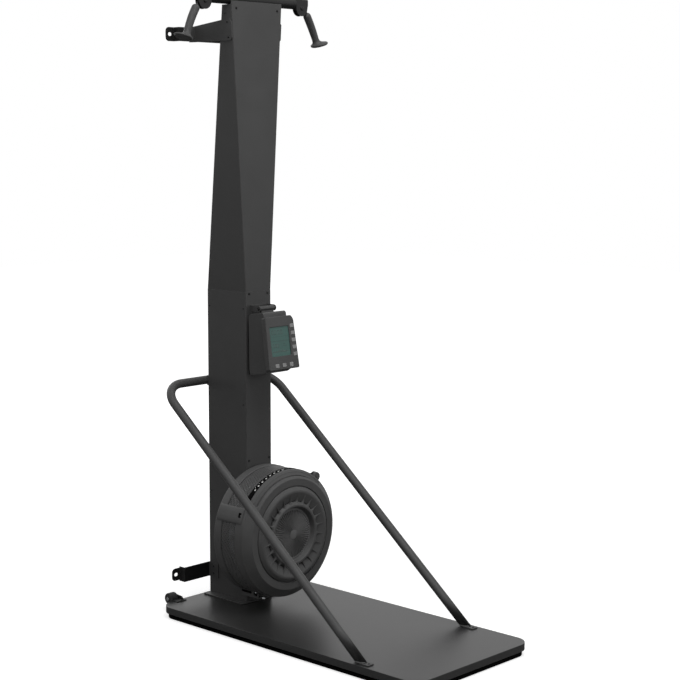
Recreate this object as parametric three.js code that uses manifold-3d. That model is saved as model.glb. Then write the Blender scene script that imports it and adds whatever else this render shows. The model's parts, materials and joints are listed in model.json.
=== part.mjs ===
// Ski trainer: a post on a deck, two pull handles on cords over a crossbar, and an air brake drum.
// Millimetres, +Z up, the user stands on the -Y side of the post and faces +Y.
import * as THREE from 'three';
import { mergeVertices } from 'three/addons/utils/BufferGeometryUtils.js';
import Module from 'manifold-3d';

const wasm = await Module();
wasm.setup();

// Clearances
const seat = 0.3;
const running = 0.8;
const overrun = 6;
const wall = 3;

// Driving dimensions, with Y measured from the middle of the deck's fan drum space
const deck = { width: 600, front: -791, back: 457.7, corner: 60, board: 25.5, base: 19.4, inset: 9 };
const post = { half: 62.5, proud: 0.7, front: 237, depth: 204, top: 1197 };
const foot = { half: 95, thick: 5, lip: 4, corner: 8 };
const column = { topHalf: 124, top: 2225, lip: 15, topDepth: 47 };
const splice = { below: 92, above: 30, backGap: 11 };
const cap = { thick: 2.4 };
const bar = { radius: 19, half: 205, wall: 3 };
const cord = { radius: 2.5, end: 1, drift: 2.6, wrap: 270, settle: 0.01 };
const sheave = { radius: 21, rim: 24, half: 5, floorHalf: 2.4, lipHalf: 4.4, pin: 5 };
const housing = { width: 63, cheekRadius: 28.5, from: 195, to: 345, cheek: 3, inside: 15, rise: 18, drop: 14,
  flange: 25, port: 9 };
const idler = { radius: 18.5, rim: 20, half: 4.5, floorHalf: 2.6, lipHalf: 4, pin: 4 };
const yoke = { half: 76, drop: 27, plate: 2.5, gap: 14, cheekTop: 8, windowEdge: 4 };
const handle = { out: 30.1, drop: 18, length: 124, topAngle: 33, endAngle: 19, topRadius: 9,
  gripRadius: 14.5, neckRadius: 13, forward: 4 };
const flare = { radius: 33.5, offset: 12, rim: 6 };
const fan = { z: 324.5, radius: 235, sheet: 3, step: 9, rearDepth: 34, bandDepth: 70.4, slotDepth: 18,
  bead: 32.7, throat: 14, bandInset: 2, bandSheet: 1.5 };
const cover = { shoulder: 32, shoulderDepth: 26, crown: 0.2, ridge: 60, ridgeRise: 9, face: 76, vane: 82 };
const hub = { inset: 120, top: 14, bore: 19, dish: 16, ledge: 8, rib: 3.2, ribDepth: 10, dome: 4, boss: 18,
  bossRise: 1, screen: 1.2 };
const channel = { inset: 13, width: 10, depth: 21, from: 49, to: 144, end: 4 };
const slot = { from: 73, to: 140, knobAt: 136, stemHalf: 2.4, knobHalf: 3.6, knobReach: 6, edge: 2 };
const rotor = { gap: 38, reach: 70, disc: 4, hub: 24, blade: 2.4, hubFront: 20, hubBack: 12,
  sweep: 16, side: 5 };
const axle = { radius: 8, nose: 8, fit: 0.4 };
const bearing = { radius: 24, depth: 14, flange: 32, flangeDepth: 4 };
const spool = { radius: 30, rim: 36, half: 9, floorHalf: 6, leftAt: 46, rightAt: 81 };
const lug = { pad: 5, depth: 130, sideReach: 9, screwReach: 20, boss: 9, sideHalf: 7.5, screwHalf: 5 };
const brace = { radius: 16, inset: 29, footY: -527.4, cornerY: 461.8, cornerZ: 853.9, bend: 93 };
const pad = { half: 60, height: 38 };
const tab = { half: 16, front: 40, back: 32, thick: 4, screw: 3, screwAt: 8 };
const wheel = { radius: 21, half: 16, inset: 78, y: 480, z: 49, bolt: 5, hub: 14, shoulder: 3 };
const fork = { plate: 3, eye: 14, reach: 30, innerInset: 108, outerInset: 63, nose: 14, head: 7 };
const wallPlate = { drop: 63, height: 74, lap: 1.3, length: 198.7, nick: 10, slope: 18.5, flange: 28 };
const upperStrap = { rise: 1.5, height: 49.5, tabHeight: 49.5 };
const lowerStrap = { z: 138, height: 55, tabHeight: 46.5, ear: 50 };
const strap = { tab: 36.5, reach: 226.5, back: 470.5, slotHalf: 8.5, slotHigh: 6.5, slotInset: 18.5,
  corner: 14 };
const monitor = { y: 165, z: 925, tilt: 9, face: -64, shell: 20, wall: 3, top: 181, bottom: -11 };
const bezel = { topHalf: 70, lowHalf: 76, chamferWide: 10, chamferHigh: 15 };
const screen = { left: -54, right: 41, low: 38, high: 144, thick: 2, lap: 4 };
const key = { half: 9, high: 7, thick: 6, proud: 1.2, inset: 13.8, columnLow: 40, columnHigh: 143, rowZ: 4,
  rowHalf: 35.5, gap: 0.4 };
const body = { half: 57, top: 200, low: -20, back: 62, backTop: 34, round: 24, chin: 24 };
const neck = { half: 36, ear: 3, radius: 9, y: -3.7, z: 215, plate: 4, drop: 66, pin: 3.4, web: 30, rim: 2 };

// Counts and angles
const ringSides = 40;
const sheaveSides = 20;
const vaneCount = 24;
const bladeCount = 18;
const bendSteps = 6;
const columnKeys = 5;
const rowKeys = 3;
const deckTop = deck.base + seat + deck.board;
const deckHalf = deck.width / 2;
const braceX = deckHalf - brace.inset;
const wheelX = deckHalf - wheel.inset;
const originY = (deck.front + wheel.y + wheel.radius) / 2;

const steel = { color: 0x47484a, roughness: 0.5, metalness: 0.3 };
const darkSteel = { color: 0x2a2b2d, roughness: 0.55, metalness: 0.3 };
const plastic = { color: 0x202123, roughness: 0.6, metalness: 0 };
const black = { color: 0x0e0e10, roughness: 0.7, metalness: 0 };
const bright = { color: 0xb8babc, roughness: 0.3, metalness: 0.9 };
const rubber = { color: 0x151515, roughness: 0.85, metalness: 0 };
const boardFinish = { color: 0x55575a, roughness: 0.7, metalness: 0 };
const braceFinish = { color: 0x4b4d50, roughness: 0.5, metalness: 0.3 };
const glass = { color: 0x4f6e66, roughness: 0.2, metalness: 0 };

const machine = new THREE.Group();
const trainer = new THREE.Group();
trainer.position.y = -originY;
machine.add(trainer);

// Solids and geometry

function toSolid(geometry) {
  const bare = geometry.clone();
  bare.deleteAttribute('normal');
  bare.deleteAttribute('uv');
  const welded = mergeVertices(bare);
  const corners = welded.index.array;
  const faces = [];
  for (let i = 0; i < corners.length; i += 3) {
    const face = [corners[i], corners[i + 1], corners[i + 2]];
    if (new Set(face).size === 3) faces.push(...face);
  }
  return new wasm.Manifold(new wasm.Mesh({
    numProp: 3,
    vertProperties: new Float32Array(welded.attributes.position.array),
    triVerts: new Uint32Array(faces),
  }));
}

function toGeometry(solid) {
  const mesh = solid.getMesh();
  const geometry = new THREE.BufferGeometry();
  geometry.setAttribute('position', new THREE.BufferAttribute(mesh.vertProperties, 3));
  geometry.setIndex(new THREE.BufferAttribute(mesh.triVerts, 1));
  geometry.computeVertexNormals();
  return geometry;
}

function join(...geometries) {
  return geometries.slice(1).reduce((sum, next) => sum.add(toSolid(next)), toSolid(geometries[0]));
}

function cut(solid, ...geometries) {
  return geometries.reduce((left, next) => left.subtract(toSolid(next)), solid);
}

function piece(parent, name, finish, shape, x = 0, y = 0, z = 0) {
  const geometry = shape.isBufferGeometry ? toGeometry(toSolid(shape)) : toGeometry(shape);
  const mesh = new THREE.Mesh(geometry, new THREE.MeshStandardMaterial(finish));
  mesh.name = name;
  mesh.position.set(x, y, z);
  parent.add(mesh);
  return mesh;
}

// A box between two corners
function block(low, high) {
  const size = high.map((value, i) => value - low[i]);
  const middle = high.map((value, i) => (value + low[i]) / 2);
  return new THREE.BoxGeometry(...size).translate(...middle);
}

function arc(x, y, radius, from, to, steps) {
  const points = [];
  for (let i = 0; i <= steps; i += 1) {
    const angle = THREE.MathUtils.degToRad(from + (to - from) * i / steps);
    points.push([x + radius * Math.cos(angle), y + radius * Math.sin(angle)]);
  }
  return points;
}

function outline(points) {
  return new THREE.Shape(points.map(([x, y]) => new THREE.Vector2(x, y)));
}

function mirrored(points, side) {
  return points.map(([x, y]) => [side * x, y]);
}

function roundedOutline(x0, y0, x1, y1, radius, steps) {
  return outline([
    ...arc(x1 - radius, y1 - radius, radius, 0, 90, steps),
    ...arc(x0 + radius, y1 - radius, radius, 90, 180, steps),
    ...arc(x0 + radius, y0 + radius, radius, 180, 270, steps),
    ...arc(x1 - radius, y0 + radius, radius, 270, 360, steps),
  ]);
}

// An outline in X and Y raised along Z
function raise(shape, low, high) {
  return new THREE.ExtrudeGeometry(shape, { depth: high - low, bevelEnabled: false }).translate(0, 0, low);
}

// An outline in X and Z carried along Y
function carry(shape, near, far) {
  const solid = new THREE.ExtrudeGeometry(shape, { depth: far - near, bevelEnabled: false });
  return solid.rotateX(Math.PI / 2).translate(0, far, 0);
}

// An outline in Y and Z carried along X
function across(shape, left, right) {
  const turn = new THREE.Matrix4().makeBasis(
    new THREE.Vector3(0, 1, 0), new THREE.Vector3(0, 0, 1), new THREE.Vector3(1, 0, 0));
  const solid = new THREE.ExtrudeGeometry(shape, { depth: right - left, bevelEnabled: false });
  return solid.applyMatrix4(turn).translate(left, 0, 0);
}

// A closed profile of radius and height turned round the Y axis
function turned(points, sides) {
  const loop = points.map(([radius, y]) => new THREE.Vector2(radius, y));
  if (THREE.ShapeUtils.area(loop) < 0) loop.reverse();
  return new THREE.LatheGeometry([...loop, loop[0].clone()], sides);
}

function rod(radius, length, sides, axis) {
  const solid = new THREE.CylinderGeometry(radius, radius, length, sides);
  if (axis === 'x') solid.rotateZ(Math.PI / 2);
  if (axis === 'z') solid.rotateX(Math.PI / 2);
  return solid;
}

// Rings of equal count joined into one closed skin with flat ends
function loft(rings) {
  const count = rings[0].length;
  const places = rings.flat().flatMap((point) => [point.x, point.y, point.z]);
  const middles = [rings[0], rings.at(-1)].map((ring) => ring
    .reduce((sum, point) => sum.add(point), new THREE.Vector3()).divideScalar(count));
  const faces = [];
  for (let level = 0; level < rings.length - 1; level += 1) {
    for (let i = 0; i < count; i += 1) {
      const a = level * count + i;
      const b = level * count + (i + 1) % count;
      faces.push(a, b, b + count, a, b + count, a + count);
    }
  }
  const first = rings.length * count;
  const last = first - count;
  for (let i = 0; i < count; i += 1) {
    faces.push(first, (i + 1) % count, i);
    faces.push(first + 1, last + i, last + (i + 1) % count);
  }
  for (const middle of middles) places.push(middle.x, middle.y, middle.z);
  const geometry = new THREE.BufferGeometry();
  geometry.setAttribute('position', new THREE.Float32BufferAttribute(places, 3));
  geometry.setIndex(faces);
  return geometry;
}

// A hollow or solid box whose top and bottom rectangles differ
function taper(bottom, top) {
  const corners = [bottom, top].map((end) => [
    new THREE.Vector3(-end.half, end.front, end.z), new THREE.Vector3(end.half, end.front, end.z),
    new THREE.Vector3(end.half, end.back, end.z), new THREE.Vector3(-end.half, end.back, end.z),
  ]);
  return loft(corners);
}

// A curve that passes through a list of points, with one step for each stretch
class Route extends THREE.Curve {
  constructor(points) {
    super();
    this.points = points;
  }

  getPoint(share, target = new THREE.Vector3()) {
    const place = THREE.MathUtils.clamp(share, 0, 1) * (this.points.length - 1);
    const index = Math.min(Math.floor(place), this.points.length - 2);
    return target.lerpVectors(this.points[index], this.points[index + 1], place - index);
  }

  getPointAt(share, target) {
    return this.getPoint(share, target);
  }

  getTangentAt(share, target = new THREE.Vector3()) {
    const index = Math.round(share * (this.points.length - 1));
    const before = Math.max(index - 1, 0);
    const after = Math.min(index, this.points.length - 2);
    const leaving = this.points[after + 1].clone().sub(this.points[after]).normalize();
    const arriving = target.subVectors(this.points[before + 1], this.points[before]).normalize();
    return arriving.add(leaving).normalize();
  }
}

function tube(points, radius, sides) {
  const section = new THREE.Shape(new THREE.EllipseCurve(0, 0, radius, radius).getPoints(sides).slice(1));
  return new THREE.ExtrudeGeometry(section, {
    steps: points.length - 1,
    extrudePath: new Route(points),
    bevelEnabled: false,
  });
}

function grooved(size, bore) {
  const floor = size.radius - cord.radius - seat;
  return turned([
    [bore, -size.half], [size.rim, -size.half], [size.rim, -size.lipHalf], [floor, -size.floorHalf],
    [floor, size.floorHalf], [size.rim, size.lipHalf], [size.rim, size.half], [bore, size.half],
  ], sheaveSides);
}

// Deck

function addDeck() {
  const base = roundedOutline(deck.inset - deckHalf, deck.front + deck.inset,
    deckHalf - deck.inset, deck.back - deck.inset, deck.corner - deck.inset, 6);
  piece(trainer, 'deck_base', black, raise(base, 0, deck.base));
  const board = roundedOutline(-deckHalf, deck.front, deckHalf, deck.back, deck.corner, 8);
  piece(trainer, 'deck_board', boardFinish, raise(board, 0, deck.board), 0, 0, deck.base + seat);
}

// Post and column

const footTop = deckTop + seat + foot.thick;
const postLow = footTop + seat;
const postBack = post.front + post.depth;
const postHalf = post.half + post.proud;
const columnLow = post.top + seat;
const columnTopBack = post.front + column.topDepth;
const sideTop = column.top - column.lip;

// Half width and back of the column at a height
function columnHalf(z) {
  return THREE.MathUtils.mapLinear(z, columnLow, column.top, post.half, column.topHalf);
}

function columnBack(z) {
  return THREE.MathUtils.mapLinear(z, columnLow, column.top, postBack, columnTopBack);
}

function columnEnd(z, inset, front, back) {
  return { half: columnHalf(z) - inset, front, back: columnBack(z) + back, z };
}

function addPost() {
  const plate = roundedOutline(-foot.half, post.front - foot.lip, foot.half, postBack + foot.lip,
    foot.corner, 3);
  piece(trainer, 'post_foot_plate', steel, raise(plate, 0, foot.thick), 0, 0, deckTop + seat);

  const shell = join(block([-postHalf, post.front, postLow], [postHalf, postBack, post.top]));
  const opening = block([-postHalf + wall, post.front + wall, postLow - overrun],
    [postHalf - wall, postBack + overrun, post.top + overrun]);
  const shaft = rod(bearing.radius + seat, post.depth, ringSides / 2, 'y').translate(0, post.front, fan.z);
  piece(trainer, 'lower_post', steel, cut(shell, opening, shaft));

  const inner = postHalf - wall - seat;
  piece(trainer, 'lower_post_back', steel,
    block([-inner, postBack - wall, postLow], [inner, postBack, post.top]));
}

function addSplice() {
  const half = post.half - wall - seat;
  const low = post.top - splice.below;
  const high = post.top + splice.above;
  const front = post.front + wall + seat;
  const back = postBack - splice.backGap;
  const shell = join(block([-half, front, low], [half, back, high]));
  const opening = block([-half + wall, front + wall, low - overrun],
    [half - wall, back + overrun, high + overrun]);
  piece(trainer, 'post_splice', darkSteel, cut(shell, opening));
}

function addColumn() {
  const shell = join(taper(columnEnd(columnLow, 0, post.front, 0), columnEnd(column.top, 0, post.front, 0)));
  const inside = taper(columnEnd(columnLow - overrun, wall, post.front + wall, overrun),
    columnEnd(column.top + overrun, wall, post.front + wall, overrun));
  const above = block([-column.topHalf - overrun, post.front + wall, sideTop],
    [column.topHalf + overrun, postBack, column.top + overrun]);
  piece(trainer, 'upper_column', steel, cut(shell, inside, above));
  piece(trainer, 'upper_column_back', steel, taper(
    { half: columnHalf(columnLow) - wall - seat, front: columnBack(columnLow) - wall,
      back: columnBack(columnLow), z: columnLow },
    { half: columnHalf(sideTop) - wall - seat, front: columnBack(sideTop) - wall,
      back: columnBack(sideTop), z: sideTop }));
}

// Crossbar, sheave housings and the cords

const barY = post.front + wall + seat + bar.radius;
const barZ = sideTop + seat + cap.thick + seat + bar.radius;
const sheaveX = bar.half + housing.width / 2;
const sheaveZ = barZ - housing.drop;
const sheaveY = barY - bar.wall;
const idlerX = idler.radius + spool.radius;
const idlerZ = sideTop - idler.pin - wall;
const yokeTop = sideTop;
const windowIn = spool.radius - cord.radius - yoke.windowEdge;
const windowOut = idlerX + idler.rim + seat * yoke.windowEdge;
const windowHalf = idler.half + yoke.windowEdge / 2;

function cordWindow(side, low, high) {
  const edges = [side * windowIn, side * windowOut].sort((a, b) => a - b);
  return block([edges[0], sheaveY - windowHalf, low], [edges[1], sheaveY + windowHalf, high]);
}

function addCap() {
  const half = columnHalf(sideTop);
  const low = sideTop + seat;
  const plate = join(block([-half, post.front + wall + seat, low],
    [half, columnBack(sideTop), low + cap.thick]));
  const windows = [-1, 1].map((side) => cordWindow(side, low - overrun, low + overrun));
  piece(trainer, 'column_cap', steel, cut(plate, ...windows));
}

function addBar() {
  const length = 2 * (bar.half - seat);
  const shell = join(rod(bar.radius, length, 32, 'x'));
  const inside = rod(bar.radius - bar.wall, length + overrun, 24, 'x');
  const windows = [-1, 1].map((side) => cordWindow(side, barZ - bar.radius - overrun, barZ)
    .translate(0, -barY, -barZ));
  piece(trainer, 'crossbar', steel, cut(shell, inside, ...windows), 0, barY, barZ);
}

// Folded cheek plates with a top web and end walls, carrying the sheave pin
function addHousing(side, name) {
  const inner = bar.half;
  const outer = bar.half + housing.width;
  const top = barZ + housing.rise;
  const shoulder = sheaveZ + housing.drop / 2;
  const bottom = arc(sheaveX, sheaveZ, housing.cheekRadius, housing.from, housing.to, 8);
  const cheek = outline(mirrored(
    [[outer, shoulder], [outer, top], [inner, top], [inner, shoulder], ...bottom], side));
  const near = sheaveY - housing.inside / 2 - housing.cheek;
  const far = sheaveY + housing.inside / 2 + housing.cheek;
  const webLow = top - housing.cheek;
  const web = outline(mirrored([[inner, webLow], [outer, webLow], [outer, top], [inner, top]], side));
  const wallIn = outer - housing.cheek;
  const wallLow = top - housing.flange;
  const endWall = outline(mirrored([[wallIn, wallLow], [outer, wallLow], [outer, top], [wallIn, top]], side));
  const innerWall = outline(mirrored([[inner, barZ - bar.radius], [inner + housing.cheek, barZ - bar.radius],
    [inner + housing.cheek, top], [inner, top]], side));
  const port = rod(housing.port, housing.width, 12, 'x')
    .translate(side * inner, sheaveY, sheaveZ + sheave.radius);
  const pin = rod(sheave.pin, far - near, 12, 'y').translate(side * sheaveX, sheaveY, sheaveZ);
  const box = cut(join(carry(endWall, near, far), carry(web, near, far), carry(innerWall, near, far),
    carry(cheek, near, near + housing.cheek), carry(cheek, far - housing.cheek, far)), port);
  piece(trainer, `pulley_housing_${name}`, darkSteel, box.add(toSolid(pin)));
  piece(trainer, `top_pulley_${name}`, plastic, grooved(sheave, sheave.pin + running / 2),
    side * sheaveX, sheaveY, sheaveZ);
}

// A channel plate under the cap that carries the two idler pins
function addYoke() {
  const near = sheaveY - yoke.gap / 2 - yoke.plate;
  const far = sheaveY + yoke.gap / 2 + yoke.plate;
  const top = yokeTop;
  const low = top - yoke.drop;
  const cheek = roundedOutline(-yoke.half, low, yoke.half, top, yoke.cheekTop, 3);
  const webHalf = yoke.half - yoke.cheekTop;
  const web = block([-webHalf, near, top - yoke.plate], [webHalf, far, top]);
  const windows = [-1, 1].map((side) => cordWindow(side, top - yoke.plate - overrun, top + overrun));
  let solid = cut(join(web), ...windows);
  for (const plate of [[near, near + yoke.plate], [far - yoke.plate, far]]) {
    solid = solid.add(toSolid(carry(cheek, ...plate)));
  }
  for (const side of [-1, 1]) {
    const pin = rod(idler.pin, far - near, 16, 'y').translate(side * idlerX, sheaveY, idlerZ);
    solid = solid.add(toSolid(pin));
  }
  piece(trainer, 'idler_yoke', darkSteel, solid);
  piece(trainer, 'idler_left', plastic, grooved(idler, idler.pin + running / 2), -idlerX, sheaveY, idlerZ);
  piece(trainer, 'idler_right', plastic, grooved(idler, idler.pin + running / 2), idlerX, sheaveY, idlerZ);
}

// Places along a cord seen from the front, with U out from the middle and V up
const headU = sheaveX + handle.out;
const headV = sheaveZ - handle.drop;

// Over the sheave, through the bar, over the idler, down the column and onto its spool
function cordPoints(side, spoolY) {
  const reach = Math.hypot(handle.out, handle.drop);
  const meet = Math.atan2(-handle.drop, handle.out) + Math.acos(sheave.radius / reach);
  const apart = Math.hypot(sheaveX - idlerX, sheaveZ - idlerZ);
  const lift = Math.atan2(sheaveZ - idlerZ, sheaveX - idlerX);
  const crown = lift + Math.acos((sheave.radius - idler.radius) / apart);
  const degrees = THREE.MathUtils.radToDeg;
  const over = arc(sheaveX, sheaveZ, sheave.radius, degrees(meet), degrees(crown), 7);
  const inward = arc(idlerX, idlerZ, idler.radius, degrees(crown), 180, 8);
  const start = new THREE.Vector2(headU, headV);
  const pull = new THREE.Vector2(...over[0]).sub(start).normalize().multiplyScalar(cord.end);
  const flat = [[start.x + pull.x, start.y + pull.y], ...over, ...inward];
  const route = flat.map(([u, v]) => new THREE.Vector3(side * u, sheaveY, v));
  const wrapSteps = 18;
  const winding = arc(0, fan.z, spool.radius, 180, 180 + cord.wrap, wrapSteps);
  const drift = (i) => THREE.MathUtils.lerp(-cord.drift, cord.drift, i / wrapSteps);
  const coil = winding.map(([x, z], i) => new THREE.Vector3(x, spoolY + drift(i), z));
  const straight = [cord.settle, 1 - cord.settle].map((share) => route.at(-1).clone().lerp(coil[0], share));
  return [...route, ...straight, ...coil];
}

function addCords() {
  const places = { left: [-1, post.front + spool.leftAt], right: [1, post.front + spool.rightAt] };
  for (const [name, [side, spoolY]] of Object.entries(places)) {
    piece(trainer, `drive_cord_${name}`, black, tube(cordPoints(side, spoolY), cord.radius, 8));
    const reel = grooved({ ...spool, lipHalf: spool.half - seat }, axle.radius + axle.fit);
    piece(trainer, `drive_drum_${name}`, bright, reel, 0, spoolY, fan.z);
  }
}

// Curved grips that hang from their cords, flared at the lower end
function addHandle(side, name) {
  const grip = handle.gripRadius;
  const neckAt = handle.neckRadius;
  // Share of the length, radius and sideways shift at each ring
  const rings = [
    [0, handle.topRadius, 0], [0.03, (handle.topRadius + grip) / 2 + seat, 0], [0.08, grip, 0],
    [0.35, grip - seat, 0], [0.6, (grip + neckAt) / 2, 0], [0.82, neckAt, 0],
    [0.91, neckAt + flare.rim / 2, flare.offset / 6], [0.96, (neckAt + flare.radius) / 2, flare.offset / 2],
    [0.985, flare.radius, flare.offset], [1.02, flare.radius, flare.offset],
    [1.05, flare.radius - flare.rim / 2, flare.offset],
  ];
  const steps = 40;
  const walk = (share) => {
    const place = new THREE.Vector3();
    for (let i = 0; i < steps; i += 1) {
      const at = (i + 0.5) / steps * share;
      const angle = THREE.MathUtils.degToRad(THREE.MathUtils.lerp(handle.topAngle, handle.endAngle, at));
      place.x += Math.sin(angle) * handle.length * share / steps;
      place.z -= Math.cos(angle) * handle.length * share / steps;
    }
    place.y = -handle.forward * share * share;
    return place;
  };
  const loops = rings.map(([share, radius, shift]) => {
    const angle = THREE.MathUtils.degToRad(THREE.MathUtils.lerp(handle.topAngle, handle.endAngle, share));
    const along = new THREE.Vector3(Math.sin(angle), 0, -Math.cos(angle));
    const out = new THREE.Vector3(Math.cos(angle), 0, Math.sin(angle));
    const back = new THREE.Vector3().crossVectors(along, out);
    const middle = walk(share).addScaledVector(out, shift);
    const ring = [];
    for (let i = 0; i < 16; i += 1) {
      const turn = i / 16 * 2 * Math.PI;
      ring.push(middle.clone().addScaledVector(out, radius * Math.cos(turn)).addScaledVector(back,
        radius * Math.sin(turn)));
    }
    return side > 0 ? ring : ring.map((point) => point.multiply(new THREE.Vector3(-1, 1, 1))).reverse();
  });
  piece(trainer, `handle_grip_${name}`, plastic, loft(loops), side * headU, sheaveY, headV);
}

// Fan drum

const backY = post.front - seat;
const rearFront = backY - fan.step - fan.rearDepth;
const bandFront = rearFront - seat - fan.bandDepth;
const coverBack = bandFront - seat;
const beadY = coverBack - fan.bead;
const shoulderY = beadY - cover.shoulderDepth - wall;
const faceY = shoulderY - cover.ridgeRise;
const shoulderRadius = fan.radius - cover.shoulder;
const ridgeRadius = fan.radius - cover.ridge;
const faceRadius = fan.radius - cover.face;
const vaneRadius = fan.radius - cover.vane;
const hubRadius = fan.radius - hub.inset;
const hubTop = hubRadius - hub.top;
const hubBore = hubRadius - hub.bore;
const channelOut = fan.radius - channel.inset;
const channelIn = channelOut - channel.width;
const rotorRadius = fan.radius - rotor.gap;
const drum = new THREE.Group();
drum.position.z = fan.z;
trainer.add(drum);

function sector(inner, outer, from, to, steps) {
  return outline([...arc(0, 0, outer, from, to, steps), ...arc(0, 0, inner, to, from, steps)]);
}

function addRearHousing() {
  const inside = fan.radius - fan.sheet;
  piece(drum, 'fan_rear_housing', plastic, turned([
    [fan.throat, backY], [fan.radius - fan.step, backY], [fan.radius, backY - fan.step],
    [fan.radius, rearFront], [inside, rearFront], [inside, backY - fan.step - seat],
    [inside - fan.step + seat, backY - fan.sheet], [fan.throat, backY - fan.sheet],
  ], ringSides));
  const outer = fan.radius - fan.bandInset;
  piece(drum, 'fan_mesh_band', darkSteel, turned([
    [outer - fan.bandSheet, bandFront], [outer, bandFront],
    [outer, rearFront - seat], [outer - fan.bandSheet, rearFront - seat],
  ], ringSides));
}

// The moulded front: a shoulder between a cone and a quarter ellipse, a raised ridge, radial ribs round
// the inlet and a hub ring
function addFrontCover() {
  const between = (straight, round) => THREE.MathUtils.lerp(straight, round, cover.crown);
  const fillet = (inset, steps) => arc(0, 0, 1, 0, -90, steps).map(([c, s], i) => [
    shoulderRadius + (cover.shoulder - inset) * between(1 - i / steps, c),
    beadY - wall + (cover.shoulderDepth - inset) * between(-i / steps, s)]);
  const skin = [...fillet(0, 5), [ridgeRadius, shoulderY], [faceRadius, faceY], [vaneRadius, faceY]];
  const lining = [...fillet(fan.sheet, 3), [ridgeRadius - seat, shoulderY + fan.sheet],
    [faceRadius - seat, faceY + fan.sheet], [vaneRadius, faceY + fan.sheet]];
  const shell = turned([[fan.radius, coverBack], ...skin, ...lining.reverse(),
    [fan.radius - fan.sheet, coverBack]], ringSides);
  const whole = turned([[0, coverBack], [fan.radius, coverBack], ...fillet(0, 5), [ridgeRadius, shoulderY],
    [0, shoulderY]], ringSides);

  const low = shoulderY + channel.depth;
  const troughPlan = sector(channelIn - wall, channelOut + wall / 2,
    channel.from - channel.end, channel.to + channel.end, 14);
  const trough = toSolid(carry(troughPlan, shoulderY - overrun, low + wall)).intersect(toSolid(whole));
  const middle = (channelIn + channelOut) / 2;
  const end = (channelOut - channelIn) / 2;
  const groove = carry(sector(channelIn, channelOut, channel.from, channel.to, 14), shoulderY - overrun, low);
  const ends = [channel.from, channel.to].map((angle) => {
    const [x, z] = arc(0, 0, middle, angle, angle, 1)[0];
    return rod(end, low - shoulderY + overrun, 12, 'y').translate(x, (low + shoulderY - overrun) / 2, z);
  });
  const notch = carry(sector(fan.radius - 2 * fan.sheet, fan.radius + overrun, slot.from, slot.to, 9),
    coverBack - fan.slotDepth, coverBack + overrun);
  let solid = cut(toSolid(shell).add(trough), groove, ...ends, notch);

  const dishY = faceY + hub.dish;
  const hubRing = turned([
    [hubRadius, faceY], [hubTop, faceY], [hubBore, dishY], [hubBore - hub.ledge, dishY],
    [hubBore - hub.ledge, dishY + fan.sheet], [hubBore + fan.sheet, dishY + fan.sheet],
    [hubTop + fan.sheet, faceY + fan.sheet], [hubRadius - fan.sheet, faceY + fan.sheet],
    [hubRadius - fan.sheet, faceY + hub.ribDepth], [hubRadius, faceY + hub.ribDepth],
  ], ringSides);
  solid = solid.add(toSolid(hubRing));
  for (let i = 0; i < vaneCount; i += 1) {
    const rib = block([hubRadius - fan.sheet / 2, faceY + hub.bossRise, -hub.rib / 2],
      [vaneRadius + fan.sheet / 2, faceY + hub.ribDepth, hub.rib / 2]);
    solid = solid.add(toSolid(rib.rotateY(2 * Math.PI * (i + 0.5) / vaneCount)));
  }
  piece(drum, 'fan_front_cover', plastic, solid);

  const rim = hubBore - seat - fan.sheet / 6;
  const lip = dishY - seat;
  const crown = lip - fan.sheet - hub.dome;
  piece(drum, 'fan_centre_cap', plastic, turned([
    [0, crown - hub.bossRise], [hub.boss, crown - hub.bossRise], [hub.boss, crown],
    [rim - wall, lip - fan.sheet], [rim - wall / 2, lip],
    [hubBore - hub.ledge, lip], [hub.boss, crown + fan.sheet], [0, crown + fan.sheet],
  ], ringSides));
  const screenY = faceY + hub.ribDepth + seat;
  piece(drum, 'fan_inlet_screen', black, turned([
    [hubRadius - fan.sheet, screenY], [faceRadius - seat, screenY],
    [faceRadius - seat, screenY + hub.screen], [hubRadius - fan.sheet, screenY + hub.screen],
  ], ringSides));
}

// A ring with a knob through the notch of the front cover, which uncovers the air path
function addDamper() {
  const outer = fan.radius - fan.sheet - running;
  const inner = outer - fan.sheet;
  const near = coverBack - fan.slotDepth + seat;
  const far = coverBack - running;
  const ring = turned([[inner, near], [outer, near], [outer, far], [inner, far]], ringSides);
  const from = (half) => [slot.knobAt - half, slot.knobAt + half];
  const stem = carry(sector(inner + seat, fan.radius + wall, ...from(slot.stemHalf), 2),
    near + slot.edge, far - slot.edge);
  const knobIn = fan.radius + running;
  const knob = carry(sector(knobIn, knobIn + slot.knobReach, ...from(slot.knobHalf), 4), near, far);
  piece(drum, 'damper_ring', black, join(ring, stem, knob));
}

// Clamp lugs that tie the front cover to the rear housing
function addLug(name, angle, half, reach, finish) {
  const near = backY - fan.step - lug.depth;
  const far = backY - fan.step - seat;
  const padSector = sector(fan.radius - lug.pad, fan.radius + lug.pad, angle - half, angle + half, 4);
  const [x, z] = arc(0, 0, fan.radius + reach - lug.boss, angle, angle, 1)[0];
  const boss = rod(lug.boss, far - near, 16, 'y').translate(x, (near + far) / 2, z);
  const clear = rod(fan.radius + seat, far - near + overrun, ringSides, 'y').translate(0, (near + far) / 2, 0);
  piece(drum, name, finish, cut(join(carry(padSector, near, far), boss), clear));
}

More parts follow.
